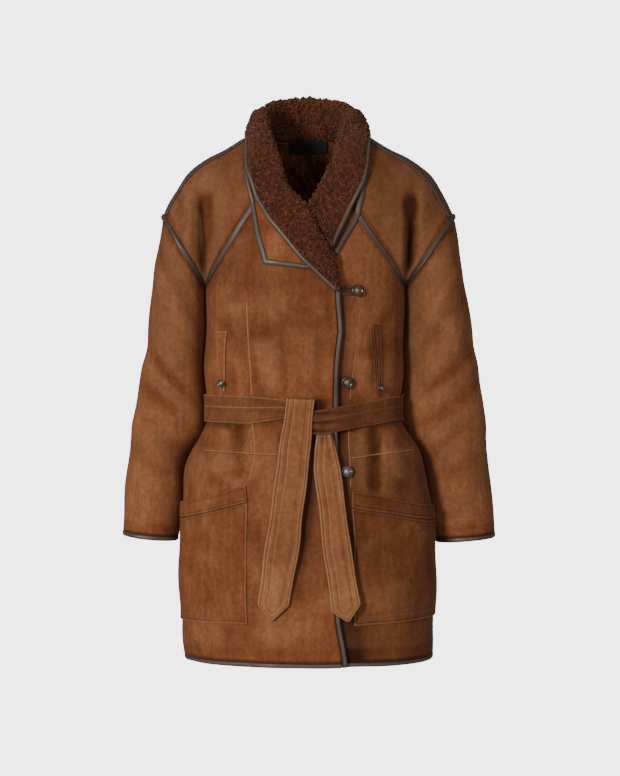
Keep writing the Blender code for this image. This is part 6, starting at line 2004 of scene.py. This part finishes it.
@dataclass
class PanelSeams:
    """Lapped seams of the fronts: a narrow raised edge of suede with a row of stitches beside it."""

    sewing: Seamstress
    half_width: float = 0.0013
    height: float = 0.0008
    stitch_beside: float = 0.0038

    def build(self) -> None:
        """Makes each seam's edge as one narrow wall, and all the stitches."""
        stitches = []
        for number, (places, over) in enumerate(PANEL_SEAMS):
            line, u = along_line(places, 60), np.linspace(-1.0, 1.0, 7)
            grid, beside = band_along(line, u, self.half_width)
            points, normals = front_points(grid, over)
            height = self.height * (1 - 0.8 * u ** 2) * rounded(edge_distance(points, 0), 0.004, 0.0)
            self.sewing.wall(f"panel_seam_{number + 1}", points + normals * height[..., None],
                             points - normals * 0.0006, Finish.SUEDE, [],
                             marks={"wear_and_highlight": 0.70 * (u > -0.4), "shade": 0.8 * (u < -0.6)})
            stitches.append(seam_on(*front_points(line + beside * self.stitch_beside, over), slice(None)))
        self.sewing.stitches("panel_stitches", stitches, Finish.THREAD)


@dataclass
class Belt:
    """The belt: a band round the back, a part across each front, and the two hanging ends."""

    sewing: Seamstress
    lines: tuple = (0.085, 0.46, 0.54, 0.915)
    tail_lines: tuple = (0.0042, 0.0135)
    rows: int = 60
    tail_rows: int = 150
    tail_columns: int = 41
    edge: float = 0.0018
    ripple: float = 0.0012
    softness: float = 0.0005
    tail_groove: float = 0.0006

    def grooves(self, share: Array, depth: float, half_width: float) -> Array:
        """Returns a narrow groove at each stitched line across the band."""
        return sum(depth * bell((share - line) / half_width) for line in self.lines)[:, None]

    def band(self, name: str, table: Array, angles: Array, raised: Callable[[Array], Array],
             gather: tuple = (0.0, 0.0), dark: float = 0.0) -> list:
        """Makes a part of the belt round the body.

        Args:
            name: the solid that it stands for.
            table: x, upper z and lower z along it.
            angles: the angles of its columns.
            raised: what moves the points where a layer lies beneath.
            gather: the x at which the part starts to be drawn together, and the x where it is drawn most.
            dark: how much painted shade darkens it beyond the others.

        Returns:
            Its rows of stitches.
        """
        share = np.linspace(0.0, 1.0, self.rows + 1)
        points, normals = strap_grid(table, angles, share, raised)
        away = edge_distance(points, 0)
        drawn = ramp(points[..., 0], gather[0], gather[1] - gather[0]) if gather[0] != gather[1] else 0.0
        ripple = self.ripple * drawn * np.cos(share[:, None] * 17.0 + points[..., 0] * 60.0)
        soft = self.softness * np.sin(points[..., 0] * 75.0 + share[:, None] * 4.0)
        height = BELT_THICKNESS * (rounded(away, self.edge) - self.grooves(share, 0.20, 0.018)) + ripple + soft
        outer = points + normals * (BELT_LIFT + height)[..., None]
        wear_and_highlight = 0.65 * bell((away - 0.0008) / 0.0009) + 0.10 + 0.7 * bell((share - 0.58) / 0.018)[:, None]
        # painted shade in the stitch grooves, in the dips of the ripple and over the whole part by dark
        shade = self.grooves(share, 0.45, 0.016)
        made = self.sewing.wall(name + "_suede", outer, points + normals * BELT_LIFT * 0.3, Finish.STRAP, [name],
                                marks={"wear_and_highlight": wear_and_highlight * (1 - 1.5 * dark),
                                       "shade": shade + dark - np.clip(ripple / (2 * self.ripple), -0.5, 0.0)})
        return [seam_on(outer, normals, int(round(line * self.rows)), 0.0001) for line in self.lines]

    def tail(self, name: str, table: Array, waves: tuple, fold: float, gather: float) -> list:
        """Makes a hanging end: a flat strap before the front, straight between its table's rows.

        Args:
            name: the solid that it stands for.
            table: the edges and the distance out of the front, row by row.
            waves: the depth and the phase of the slow waves down it.
            fold: how far its top edge turns back.
            gather: the depth of the small folds at its top.

        Returns:
            Its rows of stitches.
        """
        rows, columns = self.tail_rows, self.tail_columns
        at = np.linspace(0, len(table) - 1, rows)
        left_x, left_z, right_x, right_z = (np.interp(at, np.arange(len(table)), table[:, c]) for c in range(4))
        depths = []
        for row in table:
            places = np.array([[row[0], row[1]], [(row[0] + row[2]) / 2, (row[1] + row[3]) / 2], [row[2], row[3]]])
            depths.append(front_points(places, True)[0][:, 1].min() - row[4])
        depth = np.interp(at, np.arange(len(table)), depths)
        u = eased(columns)
        x = mix(left_x[:, None], right_x[:, None], u[None])
        z = mix(left_z[:, None], right_z[:, None], u[None])
        down = (at / (len(table) - 1))[:, None]
        wave = waves[0] * np.sin(down * 9.0 + waves[1] + u[None] * 1.2) * smooth_step(down * 4)
        small = gather * np.cos(u[None] * 15.0) * smooth_step(1 - down * 5)
        turned = fold * (1 - np.sqrt(1 - (1 - np.clip(down * 14, 0, 1)) ** 2 + 1e-9))
        y = depth[:, None] - np.abs(wave) - small * 0.5 - np.abs(small) * 0.5 + turned
        inner = np.stack(np.broadcast_arrays(x, y, z), axis=-1)
        out = grid_normals(inner, np.array([0.0, -1.0, 0.0]))
        across = edge_distance(inner, 1)
        away = np.minimum(across, edge_distance(inner, 0) + 0.002 * (down < 0.3))
        first, second = self.tail_lines
        groove = bell((away - first) / 0.0008) + 0.7 * bell((across - second) / 0.0009)
        outer = inner + out * (BELT_THICKNESS * rounded(away, self.edge) - self.tail_groove * groove)[..., None]
        wear_and_highlight = (0.75 * bell((away - 0.0010) / 0.0011) + 0.45 * bell((away - 0.0060) / 0.0012) + 0.10
                + 0.50 * bell((across - 0.0155) / 0.0011) * (u[None] < 0.5))
        # painted shade in the stitch grooves and at the top of the right end, where it comes from under the belt
        shade = 0.85 * groove + 0.6 * (gather > 0) * smooth_step(1 - down * 7)
        made = self.sewing.wall(name + "_suede", outer, inner, Finish.TAIL, [name],
                                marks={"wear_and_highlight": wear_and_highlight, "shade": shade})
        kept = slice(3, int(rows * (len(table) - 2) / (len(table) - 1)) - 2)
        from_edge = [int(np.argmin(np.abs(across[rows // 2, :columns // 2] - inset))) for inset in self.tail_lines]
        picked = [c for first in from_edge for c in (first, columns - 1 - first)]
        return [seam_on(outer, out, (kept, c)) for c in picked]

    def build(self) -> None:
        """Makes the five parts and their stitching."""
        gap = 0.0003
        seams = self.band("belt_back", BELT_BACK, np.linspace(math.pi + gap, 2 * math.pi - gap, 140), unmoved)
        end = float(angle_at(BELT_LEFT[-1, 0], BELT_MIDDLE_Z))
        # both front parts get painted shade, the right one most
        seams += self.band("belt_left", BELT_LEFT, np.linspace(math.pi - gap, end, 110), lap, (-0.085, -0.02), 0.13)
        end = float(angle_at(BELT_RIGHT[0, 0], BELT_MIDDLE_Z))
        seams += self.band("belt_right", BELT_RIGHT, np.linspace(gap, end, 120), over_front_edge, (0.095, 0.0), 0.42)
        seams += self.tail("belt_tail_left", LEFT_TAIL, (0.0016, 0.6), 0.006, 0.0)
        seams += self.tail("belt_tail_right", RIGHT_TAIL, (0.0014, 2.1), 0.0, 0.0022)
        self.sewing.stitches("belt_stitches", seams, Finish.THREAD, 0.0036)


@dataclass
class Buttons:
    """Horn buttons with a patterned brass centre, the loop of the first and the tab of the second."""

    sewing: Seamstress
    cover: Cover
    rim: tuple = ((0.0030, 0.0004), (0.0030, 0.0040), (0.0082, 0.0042), (0.0097, 0.0050), (0.0100, 0.0060),
                  (0.0097, 0.0072), (0.0088, 0.0081), (0.0077, 0.0084), (0.0068, 0.0080), (0.0061, 0.0070),
                  (0.0040, 0.0068), (0.0006, 0.0068))
    centre: tuple = ((0.0052, 0.0066), (0.0052, 0.0072), (0.0048, 0.0076), (0.0043, 0.0074), (0.0038, 0.0076),
                     (0.0031, 0.0083), (0.0023, 0.0084), (0.0014, 0.0088), (0.0004, 0.0091))
    loop_from_x: float = 0.0550
    loop_reach: float = 0.0050
    cord: float = 0.0022
    tab: tuple = (((0.0700, -0.4080), (0.0775, -0.4100)), ((0.0700, -0.4170), (0.0775, -0.4150)))
    notches: int = 12
    sides: int = 48

    def turned(self, place: Sequence, rings: Sequence, pattern: float = 0.0) -> Array:
        """Turns a profile about the direction out of the panel at a place; a pattern lifts it by cos(n t)."""
        points, normals = self.cover.grid(np.array(place) + np.array([[(0.0, 0.0), (0.004, 0.0)],
                                                                     [(0.0, 0.004), (0.004, 0.004)]]))
        point, normal, turn, rings = points[0, 0], normals[0, 0], full_turn(self.sides), np.array(rings)
        one = unit(np.cross(normal, [0.0, 0.0, 1.0]))
        two = np.cross(normal, one)
        wave = pattern * np.cos(self.notches * turn)[None] * bell((rings[:, :1] - 0.0040) / 0.0012)
        radial = one * np.cos(turn)[:, None] + two * np.sin(turn)[:, None]
        return point + radial[None] * rings[:, :1, None] + normal * (rings[:, 1:] + wave)[..., None]

    def button(self, name: str, rim: Array, centre: Array, metal: Finish, wear_and_highlight: Array) -> None:
        """Makes a button's horn rim and its metal centre."""
        self.sewing.tube(name + "_horn", rim, Finish.HORN, [name])
        self.sewing.tube(name + "_centre", centre, metal, [], marks={"wear_and_highlight": wear_and_highlight})

    def build(self) -> None:
        """Makes all the buttons with the loop and the tab."""
        ring = np.array([0.0, 0.3, 0.8, 0.2, 0.0, 0.6, 0.2, 0.7, 0.9])[:, None]
        wear_and_highlight = np.clip(ring + 0.35 * np.cos(self.notches * full_turn(self.sides)) * (ring > 0.1), 0.0, 1.0)
        for word, place in BUTTON_PLACES.items():
            self.button("button_" + word, self.turned(place, self.rim), self.turned(place, self.centre, 0.00035),
                        Finish.NICKEL if word == "lower" else Finish.BRASS, wear_and_highlight)
        for word, place in SMALL_BUTTON_PLACES.items():
            rim = [(r * 0.65, h * 0.62 + 0.0034) for r, h in self.rim[1:]]
            centre = [(r * 0.62, h * 0.62 + 0.0036) for r, h in self.centre]
            self.button("small_button_" + word, self.turned(place, rim), self.turned(place, centre), Finish.BRASS,
                        np.linspace(0.2, 0.8, len(centre))[:, None])
        x, z = BUTTON_PLACES["upper"]
        turn = np.linspace(math.pi / 2, -math.pi / 2, 25)
        start, reach = self.loop_from_x, self.loop_reach
        path = np.concatenate([np.stack([np.linspace(start, x, 20, endpoint=False), np.full(20, z + reach)], -1),
                               np.stack([x + reach * np.cos(turn), z + reach * np.sin(turn)], -1),
                               np.stack([np.linspace(x, start, 21)[1:], np.full(20, z - reach)], -1)])
        points, _ = self.cover.grid(np.stack([path, path + [0.0, 0.002]], axis=1))
        line = points[:, 0] + [0.0, -0.0024, 0.0]
        beside = unit(np.cross(directions(line), [0.0, -1.0, 0.0]))
        across = np.cross(beside, directions(line))
        self.sewing.tube("button_loop_cord", round_sections(line, beside, across, self.cord, 10),
                         Finish.LEATHER, ["button_loop"])
        points, normals = self.cover.grid(denser(np.array(self.tab), 14, 14))
        away = border_distance(points)
        height = 0.0004 + 0.0018 * rounded(away, 0.0016)
        self.sewing.wall("button_tab_leather", points + normals * height[..., None], points, Finish.LEATHER,
                         ["button_tab"], marks={"wear_and_highlight": 0.5 * bell((away - 0.001) / 0.0008)})


@dataclass
class Label:
    """The blank woven label inside the back of the neck, and the size tab below it."""

    sewing: Seamstress
    depth: float = WALL + 0.0030
    thickness: float = 0.0008

    def build(self) -> None:
        """Makes both as thin walls on the fleece, with rounded edges."""
        for name, left, right, top, bottom in (("neck_label", -0.0357, 0.0340, 0.0105, -0.0102),
                                               ("size_tab", -0.0061, 0.0026, -0.0105, -0.0190)):
            x, z = np.meshgrid(np.linspace(left, right, 46), np.linspace(top, bottom, 22))
            points = body_point(angle_at(x, z, False), z)
            inwards = -grid_normals(points, np.array([0.0, 1.0, 0.0]))
            away = border_distance(points)
            puff = self.thickness * rounded(away, 0.0012)
            inner = points + inwards * self.depth
            self.sewing.wall(name + "_cloth", inner + inwards * puff[..., None], inner, Finish.LABEL, [name])


@dataclass(frozen=True)
class Lamp:
    """A soft light: its place, what it faces, its size and its power."""

    name: str
    place: tuple
    aim: tuple
    size: float
    power: float
    colour: Colour = (1.0, 1.0, 1.0)

    def build(self) -> None:
        """Puts the light in the scene."""
        data = bpy.data.lights.new(self.name, "AREA")
        data.shape, data.size, data.energy, data.color = "DISK", self.size, self.power, self.colour
        lamp = put(self.name, data)
        lamp.location = self.place
        lamp.rotation_euler = (Vector(self.aim) - Vector(self.place)).to_track_quat("-Z", "Y").to_euler()


@dataclass
class Studio:
    """The camera, the pale ground, and plain soft light that is stronger from the upper left."""

    camera_place: tuple = (0.0026, -3.0, -0.4216)
    lens: float = 81.87
    sensor_width: float = 36.0
    ground_z: float = -1.46
    ground_radius: float = 1.6
    ground_rings: int = 8
    ground_sides: int = 64
    sky: Colour = (1.0, 1.0, 1.0)
    sky_light: float = 0.24
    sky_seen: float = 4.25
    lamps: tuple = (
        Lamp("key", (-1.7, -2.9, 0.20), (0.0, 0.0, -0.52), 0.7, 85.0, (1.0, 0.985, 0.965)),
        Lamp("front", (0.5, -3.4, -0.2), (0.0, 0.0, -0.55), 2.2, 24.0),
        Lamp("top", (-0.3, 0.3, 2.3), (0.0, 0.0, -0.3), 2.0, 6.0),
    )

    def world(self) -> bpy.types.World:
        """Makes the even sky, which is brighter behind the coat than it lights it."""
        made = bpy.data.worlds.new("sky")
        made.use_nodes = True
        tree = made.node_tree
        light, seen = tree.nodes["Background"], tree.nodes.new("ShaderNodeBackground")
        for node, strength in ((light, self.sky_light), (seen, self.sky_seen)):
            node.inputs["Color"].default_value = (*self.sky, 1.0)
            node.inputs["Strength"].default_value = strength
        path, both = tree.nodes.new("ShaderNodeLightPath"), tree.nodes.new("ShaderNodeMixShader")
        tree.links.new(path.outputs["Is Camera Ray"], both.inputs[0])
        tree.links.new(light.outputs[0], both.inputs[1])
        tree.links.new(seen.outputs[0], both.inputs[2])
        tree.links.new(both.outputs[0], tree.nodes["World Output"].inputs["Surface"])
        return made

    def build(self) -> None:
        """Sets the camera, the ground, the sky and the lights."""
        scene = bpy.context.scene
        data = bpy.data.cameras.new("camera")
        data.sensor_width, data.lens = self.sensor_width, self.lens
        camera = put("camera", data)
        camera.location, camera.rotation_euler = self.camera_place, (math.pi / 2, 0.0, 0.0)
        scene.camera = camera
        turn, shape = full_turn(self.ground_sides), (self.ground_rings, self.ground_sides)
        radii = np.linspace(0.0, self.ground_radius, self.ground_rings + 1)[1:, None]
        rings = np.stack([radii * np.cos(turn), radii * np.sin(turn), np.full(shape, self.ground_z)], axis=-1)
        mesh = bpy.data.meshes.new("ground")
        faces = sheet_faces(*shape, is_ring=True).tolist() + [list(range(self.ground_sides))]
        mesh.from_pydata(rings.reshape(-1, 3).tolist(), [], faces)
        mesh.materials.append(Paper().material())
        ground = put("ground", mesh)
        scene.world = self.world()
        for lamp in self.lamps:
            lamp.build()


def main() -> None:
    """Builds the coat from its panels outwards, then the studio."""
    logging.basicConfig(level=logging.INFO, format="%(message)s")
    wardrobe = Wardrobe(Sway(WRINKLES, seed=5))
    sewing = Seamstress(wardrobe)
    form, coarse = Form(FINE), Form(1)
    fronts = ("front_over", "front_under", "yoke_front_left", "yoke_front_right")
    cover = Cover([form.patches[name] for name in fronts])
    body = Cover([patch for name, patch in coarse.patches.items() if not name.startswith("sleeve")])
    Panels(sewing, form).build()
    tapes = Tapes(sewing, form, cover)
    Lapel(sewing, cover, tapes).build()
    tapes.build()
    Collar(sewing, coarse, body).build()
    Bindings(sewing, form).build()
    Pockets(sewing).build()
    PanelSeams(sewing).build()
    Belt(sewing).build()
    Buttons(sewing, cover).build()
    Label(sewing).build()
    Studio().build()
    log.info("%d pieces", wardrobe.count)


if __name__ == "__main__":
    main()
